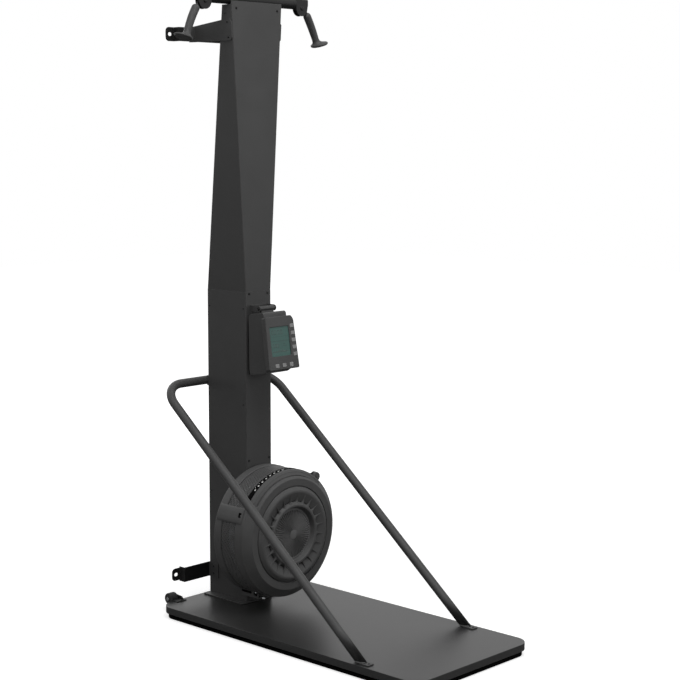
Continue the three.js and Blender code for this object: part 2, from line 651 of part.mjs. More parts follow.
// A back disc with curved blades on a hub that is keyed to the axle
function addRotor() {
  const far = rearFront - rotor.side;
  const near = bandFront + rotor.side;
  const hubRing = turned([
    [axle.radius + seat, near - rotor.hubFront], [rotor.hub, near - rotor.hubFront],
    [rotor.hub, far - rotor.disc], [rotorRadius, far - rotor.disc], [rotorRadius, far],
    [rotor.hub, far], [rotor.hub, far + rotor.hubBack], [axle.radius + seat, far + rotor.hubBack],
  ], ringSides);
  let solid = toSolid(hubRing);
  const stations = 3;
  for (let i = 0; i < bladeCount; i += 1) {
    const sides = [-1, 1].map((side) => {
      const points = [];
      for (let j = 0; j <= stations; j += 1) {
        const share = j / stations;
        const radius = THREE.MathUtils.lerp(rotorRadius - rotor.reach, rotorRadius, share);
        const turn = 2 * Math.PI * i / bladeCount + THREE.MathUtils.degToRad(rotor.sweep) * share * share;
        const offset = side * rotor.blade / 2;
        points.push([radius * Math.cos(turn) - offset * Math.sin(turn),
          radius * Math.sin(turn) + offset * Math.cos(turn)]);
      }
      return points;
    });
    const blade = outline([...sides[0], ...sides[1].reverse()]);
    solid = solid.add(toSolid(carry(blade, near, far - rotor.disc / 2)));
  }
  piece(drum, 'fan_wheel', bright, solid);
}

function addAxle() {
  const front = bandFront + rotor.side - rotor.hubFront - axle.nose;
  const back = postBack - wall - seat;
  const shaft = rod(axle.radius, back - seat - front, 20, 'y');
  piece(drum, 'fan_axle', bright, shaft, 0, (back - seat + front) / 2, 0);
  const bore = axle.radius + axle.fit;
  const profile = (near, flangeNear) => turned([
    [bore, near], [bearing.radius, near], [bearing.radius, flangeNear], [bearing.flange, flangeNear],
    [bearing.flange, flangeNear + bearing.flangeDepth], [bearing.radius, flangeNear + bearing.flangeDepth],
    [bearing.radius, near + bearing.depth], [bore, near + bearing.depth],
  ], sheaveSides);
  piece(drum, 'bearing_front', bright, profile(post.front, post.front + wall + seat));
  piece(drum, 'bearing_rear', bright, turned([
    [bore, back - bearing.depth], [bearing.radius, back - bearing.depth],
    [bearing.radius, back - bearing.flangeDepth], [bearing.flange, back - bearing.flangeDepth],
    [bearing.flange, back], [bore, back],
  ], sheaveSides));
}

// Brace: one bent tube from the deck, round behind the post and back to the deck

function bracePoints() {
  const footPoint = (side) => new THREE.Vector3(side * braceX, brace.footY, deckTop);
  const corner = (side) => new THREE.Vector3(side * braceX, brace.cornerY, brace.cornerZ);
  const bend = (side) => {
    const middle = corner(side);
    const down = footPoint(side).sub(middle).normalize();
    const inward = new THREE.Vector3(-side, 0, 0);
    const start = middle.clone().addScaledVector(down, brace.bend);
    const end = middle.clone().addScaledVector(inward, brace.bend);
    const points = [];
    for (let i = 0; i <= bendSteps; i += 1) {
      const angle = i / bendSteps * Math.PI / 2;
      points.push(middle.clone()
        .addScaledVector(down, brace.bend * (1 - Math.sin(angle)))
        .addScaledVector(inward, brace.bend * (1 - Math.cos(angle))));
    }
    return start.distanceTo(points[0]) < end.distanceTo(points[0]) ? points : points.reverse();
  };
  const below = (side) => {
    const place = footPoint(side);
    return place.addScaledVector(place.clone().sub(corner(side)).normalize(), 2 * brace.radius);
  };
  return [below(-1), ...bend(-1), ...bend(1).reverse(), below(1)];
}

function addBrace() {
  const tabTop = deckTop + seat + tab.thick;
  const reach = braceX + 2 * brace.radius;
  const under = block([-reach, brace.footY - reach, -reach], [reach, brace.footY + reach, tabTop + seat]);
  const padLow = brace.cornerZ - pad.height / 2;
  const mount = block([-pad.half, postBack + seat, padLow], [pad.half, brace.cornerY, padLow + pad.height]);
  piece(trainer, 'brace_tube', braceFinish, cut(join(tube(bracePoints(), brace.radius, 14), mount), under));
  for (const [name, side] of [['left', -1], ['right', 1]]) {
    const middle = side * braceX;
    const shape = roundedOutline(middle - tab.half, brace.footY - tab.front, middle + tab.half,
      brace.footY + tab.back, tab.thick, 2);
    const screwY = brace.footY - tab.front + tab.screwAt;
    const hole = rod(tab.screw, 3 * tab.thick, 12, 'z').translate(middle, screwY, 0);
    const solid = cut(join(raise(shape, 0, tab.thick)), hole);
    piece(trainer, `brace_foot_${name}`, steel, solid, 0, 0, deckTop + seat);
  }
}

// Transport wheels behind the deck, each on a bolt through one cheek of its bracket

// Two distances from the middle, in rising order on the given side
function span(side, near, far) {
  return side > 0 ? [near, far] : [-far, -near];
}

function addWheel(side, name) {
  const low = deckTop + seat;
  const outer = wheelX + wheel.half;
  const cheekOut = wheelX - wheel.half - running;
  const [left, right] = span(side, deckHalf - fork.innerInset, deckHalf - fork.outerInset);
  const edge = deck.back + fork.plate;
  const tip = deck.back - fork.reach;
  const base = block([left, tip, low], [right, deck.back, low + fork.plate]);
  const cheek = outline([[tip, low], [tip + fork.nose, low + fork.nose],
    ...arc(wheel.y, wheel.z, fork.eye, 90, -90, 8), [edge, wheel.z - fork.eye / 2], [edge, low]]);
  const plate = across(cheek, ...span(side, cheekOut - fork.plate, cheekOut));
  const headOut = outer + running + fork.plate;
  const boltHalf = (headOut - cheekOut + fork.plate) / 2;
  const bolt = rod(wheel.bolt, 2 * boltHalf, 16, 'x')
    .translate(side * (headOut - boltHalf), wheel.y, wheel.z);
  const head = rod(fork.head, fork.plate, 6, 'x')
    .translate(side * (headOut - fork.plate / 2), wheel.y, wheel.z);
  piece(trainer, `wheel_bracket_${name}`, darkSteel, join(base, plate, bolt, head));

  const bore = wheel.bolt + running / 2;
  const tread = wheel.half - wheel.shoulder;
  const roller = turned([
    [bore, -wheel.half], [wheel.hub, -wheel.half], [wheel.radius - wheel.shoulder / 2, -wheel.half + seat],
    [wheel.radius, -tread], [wheel.radius, tread], [wheel.radius - wheel.shoulder / 2, wheel.half - seat],
    [wheel.hub, wheel.half], [bore, wheel.half],
  ], 24);
  roller.rotateZ(Math.PI / 2);
  piece(trainer, `transport_wheel_${name}`, rubber, roller, side * wheelX, wheel.y, wheel.z);
}

// Wall fixings

const plateLow = column.top - wallPlate.drop - wallPlate.height;

function addWallPlate(side, name) {
  const half = wallPlate.height / 2;
  const middle = plateLow + half;
  const leaning = new THREE.Group();
  leaning.position.set(side * (columnHalf(middle) + seat), 0, middle);
  leaning.rotation.y = side * Math.atan((column.topHalf - post.half) / (column.top - columnLow));
  trainer.add(leaning);
  const { nick, slope, flange } = wallPlate;
  const front = post.front + wallPlate.lap;
  const back = front + wallPlate.length;
  const shape = outline([[front + nick, -half], [back, -half], [back, half - slope], [front + half, half],
    [front + nick, half], [front, half - nick], [front, nick - half]]);
  const [left, right] = span(side, 0, flange);
  const fold = block([left, back - wall, -half], [right, back, half - slope]);
  piece(leaning, `upper_wall_plate_${name}`, darkSteel, join(across(shape, ...span(side, 0, wall)), fold));
}

// A flat strap whose ends step back to slotted tabs against the wall
function strapSolid(front, size) {
  const { reach, back } = strap;
  const half = reach - strap.tab;
  const near = back - wall;
  const plan = outline([
    [-reach, near], [-half, near], [-half, front], [half, front], [half, near], [reach, near], [reach, back],
    [half - wall, back], [half - wall, front + wall], [wall - half, front + wall], [wall - half, back],
    [-reach, back],
  ]);
  const low = size.z - size.height / 2;
  const high = size.z + size.height / 2;
  const tabHalf = size.tabHeight / 2;
  const tabs = roundedOutline(-reach, size.z - tabHalf, reach, size.z + tabHalf, strap.corner, 4);
  const middle = outline([[-half, low], [half, low], [half, high], [-half, high]]);
  const face = join(carry(tabs, front - wall, back + wall), carry(middle, front - wall, back + wall));
  const slots = [-1, 1].map((side) => {
    const x = side * (reach - strap.slotInset);
    return carry(roundedOutline(x - strap.slotHalf, size.z - strap.slotHigh, x + strap.slotHalf,
      size.z + strap.slotHigh, strap.slotHigh - seat, 4), near - overrun, back + overrun);
  });
  return cut(toSolid(raise(plan, low, high)).intersect(face), ...slots);
}

function addStraps() {
  const plateBack = post.front + wallPlate.lap + wallPlate.length;
  piece(trainer, 'upper_wall_strap', darkSteel, strapSolid(plateBack + seat, {
    ...upperStrap, z: plateLow + upperStrap.rise + upperStrap.height / 2 }));
  const front = postBack + seat;
  let lower = strapSolid(front, lowerStrap);
  const half = lowerStrap.height / 2;
  for (const side of [-1, 1]) {
    const [left, right] = span(side, postHalf + seat, postHalf + seat + wall);
    lower = lower.add(toSolid(block([left, front - lowerStrap.ear, lowerStrap.z - half],
      [right, front + wall / 2, lowerStrap.z + half])));
  }
  piece(trainer, 'lower_wall_strap', darkSteel, lower);
}

// Monitor, hung from a neck bracket on the post so that its lower edge swings out

const tilt = THREE.MathUtils.degToRad(monitor.tilt);
const pivotY = monitor.y + neck.y * Math.cos(tilt) + neck.z * Math.sin(tilt);
const pivotZ = monitor.z - neck.y * Math.sin(tilt) + neck.z * Math.cos(tilt);
const display = new THREE.Group();
display.position.set(0, monitor.y, monitor.z);
display.rotation.x = -tilt;
trainer.add(display);

function bezelHalf(z) {
  return THREE.MathUtils.mapLinear(z, monitor.bottom, monitor.top, bezel.lowHalf, bezel.topHalf);
}

function keyPlaces() {
  const places = [];
  for (let i = 0; i < columnKeys; i += 1) {
    const z = THREE.MathUtils.lerp(key.columnHigh, key.columnLow, i / (columnKeys - 1));
    places.push([`button_column_${i + 1}`, bezelHalf(z) - key.inset, z]);
  }
  for (let i = 0; i < rowKeys; i += 1) {
    places.push([`button_row_${i + 1}`, key.rowHalf * (2 * i / (rowKeys - 1) - 1), key.rowZ]);
  }
  return places;
}

function addMonitorFront() {
  const { face, shell, top, bottom } = monitor;
  const border = (inset) => outline([
    [inset - bezel.lowHalf, bottom + inset], [bezel.lowHalf - inset, bottom + inset],
    [bezelHalf(top - bezel.chamferHigh) - inset, top - bezel.chamferHigh - inset / 2],
    [bezel.topHalf - bezel.chamferWide - inset / 2, top - inset], [inset - bezel.topHalf, top - inset],
  ]);
  const box = join(carry(border(0), face, face + shell));
  const inside = carry(border(monitor.wall), face + monitor.wall, face + shell + overrun);
  const view = block([screen.left, face - overrun, screen.low], [screen.right, face + shell, screen.high]);
  const portHalf = key.half + key.gap;
  const portHigh = key.high + key.gap;
  const ports = keyPlaces().map(([, x, z]) => block([x - portHalf, face - overrun, z - portHigh],
    [x + portHalf, face + monitor.wall + seat, z + portHigh]));
  piece(display, 'monitor_front', plastic, cut(box, inside, view, ...ports));

  const near = face + monitor.wall + seat;
  piece(display, 'monitor_screen', glass, block([screen.left - screen.lap, near, screen.low - screen.lap],
    [screen.right + screen.lap, near + screen.thick, screen.high + screen.lap]));
  for (const [name, x, z] of keyPlaces()) {
    piece(display, name, rubber, block([-key.half, 0, -key.high], [key.half, key.thick, key.high]),
      x, face - key.proud, z);
  }
}

function addMonitorRear() {
  const near = monitor.face + monitor.shell + seat;
  const side = outline([[near, body.top], [near, body.low + body.chin / 2], [near + body.chin, body.low],
    ...arc(body.back - body.round, body.low + body.round, body.round, 270, 360, 6),
    [body.backTop, body.top]]);
  const boss = rod(neck.radius, 2 * neck.half, 20, 'x').translate(0, neck.y, neck.z);
  const webHalf = neck.radius / 2;
  const web = block([-neck.web, neck.y - webHalf, body.top - wall], [neck.web, neck.y + webHalf, neck.z]);
  const bore = rod(neck.pin + seat, 2 * neck.half + overrun, 16, 'x').translate(0, neck.y, neck.z);
  piece(display, 'monitor_rear', plastic, cut(join(across(side, -body.half, body.half), boss, web), bore));
}

function addNeck() {
  const plateY = post.front - seat;
  const eye = neck.radius + neck.rim;
  const inner = neck.half + running / 2;
  const outer = inner + neck.ear;
  const rim = arc(pivotY, pivotZ, eye, 90, 270, 10);
  const ear = outline([...rim, [plateY, pivotZ - eye], [plateY, pivotZ + eye]]);
  const back = block([-outer, plateY - neck.plate, pivotZ + eye - neck.drop], [outer, plateY, pivotZ + eye]);
  const pin = rod(neck.pin, 2 * outer, 16, 'x').translate(0, pivotY, pivotZ);
  piece(trainer, 'monitor_bracket', darkSteel,
    join(back, across(ear, -outer, -inner), across(ear, inner, outer), pin));
}

addDeck();
addPost();
addSplice();
addColumn();
addCap();
addBar();
addYoke();
addCords();
addRearHousing();
addFrontCover();
addDamper();
addRotor();
addAxle();
addLug('clamp_lug_left', 157.5, lug.sideHalf, lug.sideReach, plastic);
addLug('clamp_lug_right', 47, lug.screwHalf, lug.screwReach, plastic);
addLug('clamp_lug_lower', 248, lug.screwHalf, lug.screwReach, plastic);
addBrace();
for (const [name, side] of [['left', -1], ['right', 1]]) {
  addHousing(side, name);
  addHandle(side, name);
  addWheel(side, name);
  addWallPlate(side, name);
}
addStraps();
addNeck();
addMonitorRear();
addMonitorFront();

export default machine;
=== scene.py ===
# Ski trainer machine: a grey steel post on a deck, two pull handles on cords, and an air brake drum.
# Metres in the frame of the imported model; the sizes below are millimetres, turned to metres in mesh_of.
import json
import bmesh
import bpy
import numpy as np
from mathutils import Matrix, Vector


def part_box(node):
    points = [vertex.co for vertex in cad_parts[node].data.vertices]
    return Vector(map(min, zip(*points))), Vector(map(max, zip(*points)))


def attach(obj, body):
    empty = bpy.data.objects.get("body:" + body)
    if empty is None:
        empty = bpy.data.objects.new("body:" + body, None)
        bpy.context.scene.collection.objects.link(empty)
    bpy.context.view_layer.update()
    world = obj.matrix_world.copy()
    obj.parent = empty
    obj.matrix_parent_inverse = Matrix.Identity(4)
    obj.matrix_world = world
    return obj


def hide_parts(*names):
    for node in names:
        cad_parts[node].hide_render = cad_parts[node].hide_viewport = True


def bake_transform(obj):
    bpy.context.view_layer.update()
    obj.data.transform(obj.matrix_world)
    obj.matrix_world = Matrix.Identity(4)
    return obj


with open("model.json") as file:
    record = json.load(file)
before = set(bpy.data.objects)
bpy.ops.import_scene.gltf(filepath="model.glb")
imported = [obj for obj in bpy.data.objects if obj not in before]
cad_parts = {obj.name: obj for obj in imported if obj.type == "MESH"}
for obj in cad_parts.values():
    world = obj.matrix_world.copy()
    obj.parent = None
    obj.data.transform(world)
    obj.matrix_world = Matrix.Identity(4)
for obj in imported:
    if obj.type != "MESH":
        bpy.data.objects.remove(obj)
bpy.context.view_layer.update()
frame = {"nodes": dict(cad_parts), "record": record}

MM = 0.001

# Camera. It stands at the left front corner of the deck at chest height, where the photograph was
# taken: the lens, the place and the turn were fitted to the edges of the deck, post and column.
def linked(name, data):
    """A new object for a mesh, a lamp or a camera, in the scene."""
    thing = bpy.data.objects.new(name, data)
    bpy.context.collection.objects.link(thing)
    return thing


def facing(place, out, roll=0.0):
    """A transform at a place that looks against the direction out: its sideways axis is level, then both it
    and the upward axis turn by the roll."""
    out = np.asarray(out) / np.linalg.norm(out)
    side = np.cross((0, 0, 1), out)
    side = side / np.linalg.norm(side)
    up = np.cross(out, side)
    turn = np.eye(4)
    turn[:3, 0] = side * np.cos(roll) + up * np.sin(roll)
    turn[:3, 1] = up * np.cos(roll) - side * np.sin(roll)
    turn[:3, 2], turn[:3, 3] = out, place
    return Matrix(turn.tolist())


yaw, rise, roll = np.radians([-46.699, 7.307, 0.093])
back = np.sin(yaw) * np.cos(rise), -np.cos(yaw) * np.cos(rise), np.sin(rise)
eye = bpy.data.cameras.new("camera")
eye.lens, eye.sensor_width = 84.95, 36.0
eye.clip_start, eye.clip_end = 0.1, 60.0
camera = linked("camera", eye)
camera.matrix_world = facing((-4.0139, -3.8081, 1.7616), back, roll)
bpy.context.scene.camera = camera
bpy.context.scene.view_settings.view_transform = "Standard"


# Studio. A white surround, a pale floor that brightens with the distance, one strong soft box overhead
# and three weaker ones round the machine, so that the front is lighter than the side.
def srgb(code):
    """An sRGB hex colour as linear red, green, blue and alpha: each channel by the sRGB curve."""
    share = np.array([int(code[i:i + 2], 16) for i in (1, 3, 5)]) / 255
    linear = np.where(share <= 0.04045, share / 12.92, ((share + 0.055) / 1.055) ** 2.4)
    return (*linear.tolist(), 1.0)


def cleared(holder):
    """The emptied node tree of a world or a material."""
    holder.use_nodes = True
    holder.node_tree.nodes.clear()
    return holder.node_tree


def node(tree, kind, inputs=None, **settings):
    """Adds one shader node, sets its properties, and gives each input a value, or a link from a socket or
    from a node's first output."""
    made = tree.nodes.new("ShaderNode" + kind)
    for key, value in settings.items():
        setattr(made, key, value)
    for key, value in (inputs or {}).items():
        value = value.outputs[0] if isinstance(value, bpy.types.Node) else value
        if isinstance(value, bpy.types.NodeSocket):
            tree.links.new(value, made.inputs[key])
        else:
            made.inputs[key].default_value = value
    return made


def spread(tree, value, low, high, start=0.0, stop=1.0):
    """A value mapped in a straight line, so that start gives low and stop gives high."""
    return node(tree, "MapRange", {0: value, 1: start, 2: stop, 3: low, 4: high})


world = bpy.data.worlds.new("studio")
bpy.context.scene.world = world
tree = cleared(world)
ray = node(tree, "LightPath")
seen = node(tree, "Math", {0: ray.outputs["Is Camera Ray"], 1: ray.outputs["Is Transmission Ray"]},
            operation="MAXIMUM")
seen = node(tree, "Math", {0: seen, 1: ray.outputs["Is Glossy Ray"]}, operation="MAXIMUM")
soft = node(tree, "Background", {"Color": srgb("#ffffff"), "Strength": 0.2})
white = node(tree, "Background", {"Color": srgb("#ffffff"), "Strength": 1.0})
mixed = node(tree, "MixShader", {0: seen, 1: soft, 2: white})
node(tree, "OutputWorld", {"Surface": mixed})

for name, place, size, watts, aim_z in (
    ("softbox_top", (-0.4, -1.6, 4.8), 2.6, 100.0, 0.5),
    ("softbox_left", (-3.8, -0.8, 4.2), 2.2, 46.0, 0.9),
    ("softbox_back", (1.6, 5.2, 2.6), 2.6, 46.0, 1.0),
    ("softbox_front", (2.6, -4.6, 2.2), 2.4, 40.0, 1.1),
):
    lamp = bpy.data.lights.new(name, "AREA")
    lamp.shape, lamp.size, lamp.energy = "SQUARE", size, watts
    linked(name, lamp).matrix_world = facing(place, np.subtract(place, (0, 0, aim_z)))


def rect(x0, y0, x1, y1):
    """The four corners of a rectangle."""
    return [(x0, y0), (x1, y0), (x1, y1), (x0, y1)]


FLOOR = 14.0
ground = bpy.data.meshes.new("floor")
ground.from_pydata([(x, y, 0) for x, y in rect(-FLOOR, -FLOOR, FLOOR, FLOOR)], [], [(0, 1, 2, 3)])
linked("floor", ground)
# Seamless paper: to the camera a matt white that glows up to pure white from 2.6 m outwards and keeps
# the machine's shadow near it; to other rays a duller grey, so that it doesn't light the machine from below.
paper = bpy.data.materials.new("studio_paper")
tree = cleared(paper)
matt = node(tree, "BsdfDiffuse", {"Color": srgb("#d2d2d2")})
dull = node(tree, "BsdfDiffuse", {"Color": srgb("#8a8a8a")})
place = node(tree, "TexCoord")
away = node(tree, "VectorMath", {0: place.outputs["Object"]}, operation="LENGTH")
brighter = spread(tree, away.outputs["Value"], 0.68, 1.0, 0.7, 2.6)
glow = node(tree, "Emission", {"Color": srgb("#ffffff"), "Strength": brighter})
both = node(tree, "AddShader", {0: matt, 1: glow})
ray = node(tree, "LightPath")
mixed = node(tree, "MixShader", {0: ray.outputs["Is Camera Ray"], 1: dull, 2: both})
node(tree, "OutputMaterial", {"Surface": mixed})
ground.materials.append(paper)


# Deck. A thick chipboard deck with a grey textured laminate on top and a dark band glued round its
# edge, on a black painted base that stands a little in from it.
DECK = {"x": 300.0, "front": -646.0, "back": 602.7, "corner": 60.0, "low": 19.7, "high": 45.2}
BASE = {"inset": 9.0, "corner": 51.0, "high": 19.4}
SHARP = np.radians(35)


def rounded(corners, reach, steps=4):
    """A closed outline whose corners are eased: a circular arc joins two points that lie the reach away
    from the corner along its two edges."""
    corners = np.asarray(corners, float)
    ahead, behind = np.roll(corners, -1, 0) - corners, np.roll(corners, 1, 0) - corners
    long, short = np.linalg.norm(ahead, axis=1), np.linalg.norm(behind, axis=1)
    ahead, behind = ahead / long[:, None], behind / short[:, None]
    trim = np.minimum(reach, 0.48 * np.minimum(long, short))[:, None]
    weight = np.sqrt((1 - (ahead * behind).sum(1)) / 2)[:, None, None]
    start, end = (corners + behind * trim)[:, None], (corners + ahead * trim)[:, None]
    t = np.linspace(0, 1, steps + 1)[None, :, None]
    top = (1 - t) ** 2 * start + 2 * weight * t * (1 - t) * corners[:, None] + t ** 2 * end
    return (top / ((1 - t) ** 2 + 2 * weight * t * (1 - t) + t ** 2)).reshape(-1, 2)


def skin(rings, closed=False):
    """The points, four-sided faces and caps of a surface through rings of points (station, point, 3): each
    ring is closed, and the last ring joins the first where closed, or else both end in a flat cap."""
    n, m = rings.shape[:2]
    i = np.arange(n if closed else n - 1)[:, None]
    j = np.arange(m)[None, :]
    quads = np.stack([i * m + j, i * m + (j + 1) % m, (i + 1) % n * m + (j + 1) % m, (i + 1) % n * m + j], -1)
    ends = [] if closed else [np.arange(m)[::-1], np.arange((n - 1) * m, n * m)]
    return rings.reshape(-1, 3), quads.reshape(-1, 4), ends


def slab(low, high, corner, profile, axis=2, steps=10):
    """A rounded rectangle from low to high, drawn in by each inset of the profile and set at its place
    along the axis, so that the profile of (inset, place) pairs runs round the whole edge."""
    rings = []
    for inset, place in profile:
        loop = rounded(rect(*np.add(low, inset), *np.subtract(high, inset)), max(corner - inset, 0.2), steps)
        rings.append(np.insert(loop, axis, place, axis=1))
    return skin(np.array(rings))


def mesh_of(name, shells, merge=2e-6, closed=True):
    """One mesh of several shells in millimetres, its doubles merged and closed shells' faces turned outwards."""
    starts = np.cumsum([0] + [len(points) for points, _, _ in shells])
    faces = [face for (_, quads, _), start in zip(shells, starts) for face in (quads + start).tolist()]
    faces += [(end + start).tolist() for (_, _, ends), start in zip(shells, starts) for end in ends]
    mesh = bpy.data.meshes.new(name)
    mesh.from_pydata((np.concatenate([points for points, _, _ in shells]) * MM).tolist(), [], faces)
    work = bmesh.new()
    work.from_mesh(mesh)
    bmesh.ops.remove_doubles(work, verts=work.verts, dist=merge)
    if closed:
        bmesh.ops.recalc_face_normals(work, faces=work.faces)
    work.to_mesh(mesh)
    work.free()
    return mesh


def settle(thing, finish, cad, body):
    """Gives a piece its one finish and its body, and hides the CAD node that it stands in for."""
    thing.data.materials.clear()
    thing.data.materials.append(finish)
    if body:
        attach(thing, body)
    if cad:
        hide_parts(cad)
    return thing


def eased(thing, edge, segments, miter):
    """Smooth faces, and a bevel of a radius in millimetres on every edge sharper than 35 degrees."""
    thing.data.shade_smooth()
    if edge:
        bevel = thing.modifiers.new("edges", "BEVEL")
        bevel.width, bevel.segments, bevel.limit_method = edge * MM, segments, "ANGLE"
        bevel.angle_limit, bevel.miter_outer = SHARP, miter
    thing.modifiers.new("shading", "WEIGHTED_NORMAL").weight = 60


def make(name, shells, finish, cad=None, body="root", cuts=(), edge=0.0, segments=2):
    """A piece of one mesh from closed shells, with other shells cut out of it."""
    thing = linked(name, mesh_of(name, shells))
    if cuts:
        tool = linked(name + "_tool", mesh_of(name + "_tool", cuts))
        hole = thing.modifiers.new("hole", "BOOLEAN")
        hole.operation, hole.solver, hole.object = "DIFFERENCE", "EXACT", tool
        bpy.context.view_layer.update()
        solid = bpy.data.meshes.new_from_object(thing.evaluated_get(bpy.context.evaluated_depsgraph_get()))
        thing.modifiers.clear()
        thing.data = solid
        bpy.data.objects.remove(tool)
    eased(thing, edge, segments, "MITER_ARC")
    return settle(thing, finish, cad, body)


def surface(name):
    """A new material, its empty node tree and its Object coordinates."""
    material = bpy.data.materials.new(name)
    tree = cleared(material)
    return material, tree, node(tree, "TexCoord").outputs["Object"]


def noise(tree, place, size, detail=2.0):
    """Cloudy noise of a size in millimetres."""
    return node(tree, "TexNoise", {"Vector": place, "Scale": 1 / (size * MM), "Detail": detail})


def cells(tree, place, size, feature="SMOOTH_F1"):
    """A pebbled height: the distance to the nearest of points scattered at a size in millimetres."""
    found = node(tree, "TexVoronoi", {"Vector": place, "Scale": 1 / (size * MM)}, feature=feature)
    return found.outputs["Distance"]


def blend(tree, share, first, second):
    """A mix of two colours by a share."""
    return node(tree, "Mix", {0: share, 6: first, 7: second}, data_type="RGBA").outputs[2]


def mottled(tree, place, pale, dark, size):
    """A colour that drifts half the way between two hex colours in clouds of a size in millimetres."""
    return blend(tree, spread(tree, noise(tree, place, size, 4.0), 0.0, 0.5, 0.3, 0.7), srgb(pale), srgb(dark))


def shaded(tree, colour, gloss, level=0.5, metal=0.0, sheen=0.0, height=None, bump=(0.0, 0.0)):
    """Joins a colour, a roughness and a height in one shader; bump is the height's strength and its depth in
    millimetres."""
    inputs = {"Base Color": colour, "Roughness": gloss, "Specular IOR Level": level, "Metallic": metal,
              "Sheen Weight": sheen}
    if height is not None:
        strength, deep = bump
        inputs["Normal"] = node(tree, "Bump", {"Height": height, "Strength": strength, "Distance": deep * MM})
    node(tree, "OutputMaterial", {"Surface": node(tree, "BsdfPrincipled", inputs)})


def plain(name, pale, dark, drift, grain, gloss, level=0.5, metal=0.0, bump=None, detail=2.0, feature=None):
    """A finish of one colour that drifts in clouds, with a fine grain of noise, or of cells with a feature; both
    sizes are in millimetres. The roughness follows the grain between the two values of gloss, or is one value,
    and the bump follows it too."""
    material, tree, place = surface(name)
    fine = cells(tree, place, grain, feature) if feature else noise(tree, place, grain, detail)
    rough = gloss if isinstance(gloss, float) else spread(tree, fine, *gloss)
    shaded(tree, mottled(tree, place, pale, dark, drift), rough, level, metal, 0.0, fine if bump else None, bump)
    return material


# Textured melamine laminate, pressed with a fine pebble so that shoes grip: a matt grey top. The real
# pebble of 0.4 mm is too fine to show here, so it is drawn at 2 mm.
laminate, tree, place = surface("melamine_laminate_pebbled")
pebble = cells(tree, place, 2.0)
speck = spread(tree, noise(tree, place, 1.6, 1.0), 0.0, 0.35, 0.55, 0.75)
colour = blend(tree, speck, mottled(tree, place, "#2b2b2b", "#262626", 60.0), srgb("#3a3a3a"))
shaded(tree, colour, spread(tree, pebble, 0.3, 0.38), 0.28, height=pebble, bump=(0.25, 0.4))

# ABS edge band, extruded and ironed on: darker than the laminate, with faint lines along its length.
band, tree, place = surface("abs_edge_band")
stretch = node(tree, "Mapping", {"Vector": place, "Scale": (20.0, 20.0, 900.0)})
lines = noise(tree, stretch, 1000.0)
shaded(tree, mottled(tree, place, "#343434", "#2e2e2e", 90.0), spread(tree, lines, 0.5, 0.62), 0.25,
       height=lines, bump=(0.2, 0.3))

# Black sealer on the base's bare fibreboard: dull, with the rough nap of the board under it.
sealer = plain("black_sealed_fibreboard", "#080808", "#040404", 25.0, 3.0, 0.8, 0.03,
               bump=(0.5, 0.6), detail=5.0)

LOW, HIGH = (-DECK["x"], DECK["front"]), (DECK["x"], DECK["back"])
make("deck_laminate_top", [slab(LOW, HIGH, DECK["corner"], [
    (0.1, 43.9), (0, 44.2), (0.25, 44.8), (0.7, 45.1), (1.4, DECK["high"])], steps=16)], laminate, "deck_board")
make("deck_core_with_edge_band", [slab(LOW, HIGH, DECK["corner"], [
    (1.2, DECK["low"]), (0.4, 20), (0, 20.8), (0, 43.4), (0.2, 43.8)], steps=16)], band)
make("deck_base_board", [slab(np.add(LOW, BASE["inset"]), np.subtract(HIGH, BASE["inset"]), BASE["corner"], [
    (2, 0), (0.6, 0.6), (0, 2), (0, BASE["high"])], steps=12)], sealer, "deck_base")


# Post. A channel folded from 3 mm steel, welded to a foot plate, closed at the back by a second sheet,
# powder coated dark grey. Its front sheet is bored for the fan's bearing.
def carried(outline, axis, *places):
    """A closed outline of (u, v) points set at each place along an axis; u and v run along the other two
    axes in rising order."""
    rings = np.empty((len(places), len(outline), 3))
    rings[:, :, axis] = np.asarray(places)[:, None]
    rings[:, :, [i for i in range(3) if i != axis]] = outline
    return rings


def prism(outline, axis, *places):
    """A closed outline drawn out along an axis between its places, with flat ends."""
    return skin(carried(outline, axis, *places))


def box(low, high):
    """A plain block between two corners."""
    (x0, y0, z0), (x1, y1, z1) = low, high
    return prism(rect(x0, y0, x1, y1), 2, z0, z1)


def channel_outline(half, front, rear, wall=3.0):
    """The closed outline of a folded channel seen along its length, open at the rear, with round folds."""
    corners = [(-half, rear), (-half, front), (half, front), (half, rear), (half - wall, rear),
               (half - wall, front + wall), (wall - half, front + wall), (wall - half, rear)]
    return rounded(corners, np.array([0.6, 4, 4, 0.6, 0.6, 1.4, 1.4, 0.6]), 5)


def spun(profile, sides, centre=(0, 0, 0), axis=1):
    """A closed profile of (radius, place along the axis) pairs turned all the way round the axis: with u and
    v the other two axes, each point lies at (radius cos t, radius sin t)."""
    profile = np.asarray(profile, float)
    t = 2 * np.pi * np.arange(sides)[:, None] / sides
    rings = np.empty((sides, len(profile), 3))
    u, v = [i for i in range(3) if i != axis]
    rings[:, :, axis] = profile[None, :, 1]
    rings[:, :, u] = profile[None, :, 0] * np.cos(t)
    rings[:, :, v] = profile[None, :, 0] * np.sin(t)
    return skin(rings + np.asarray(centre), closed=True)


def edge_highlight(tree, colour, edge_light, radius, share, stop):
    """A colour that turns to a paler one on edges, a painted highlight, by a share: it follows the cosine between the
    true normal and the normal eased over a radius in millimetres, from 0.99 down to the stop."""
    round_normal = node(tree, "Bevel", {"Radius": radius * MM}, samples=4)
    true_normal = node(tree, "NewGeometry")
    turn = node(tree, "VectorMath", {0: round_normal, 1: true_normal.outputs["Normal"]},
                operation="DOT_PRODUCT")
    return blend(tree, spread(tree, turn.outputs["Value"], 0.0, share, 0.99, stop), colour, srgb(edge_light))


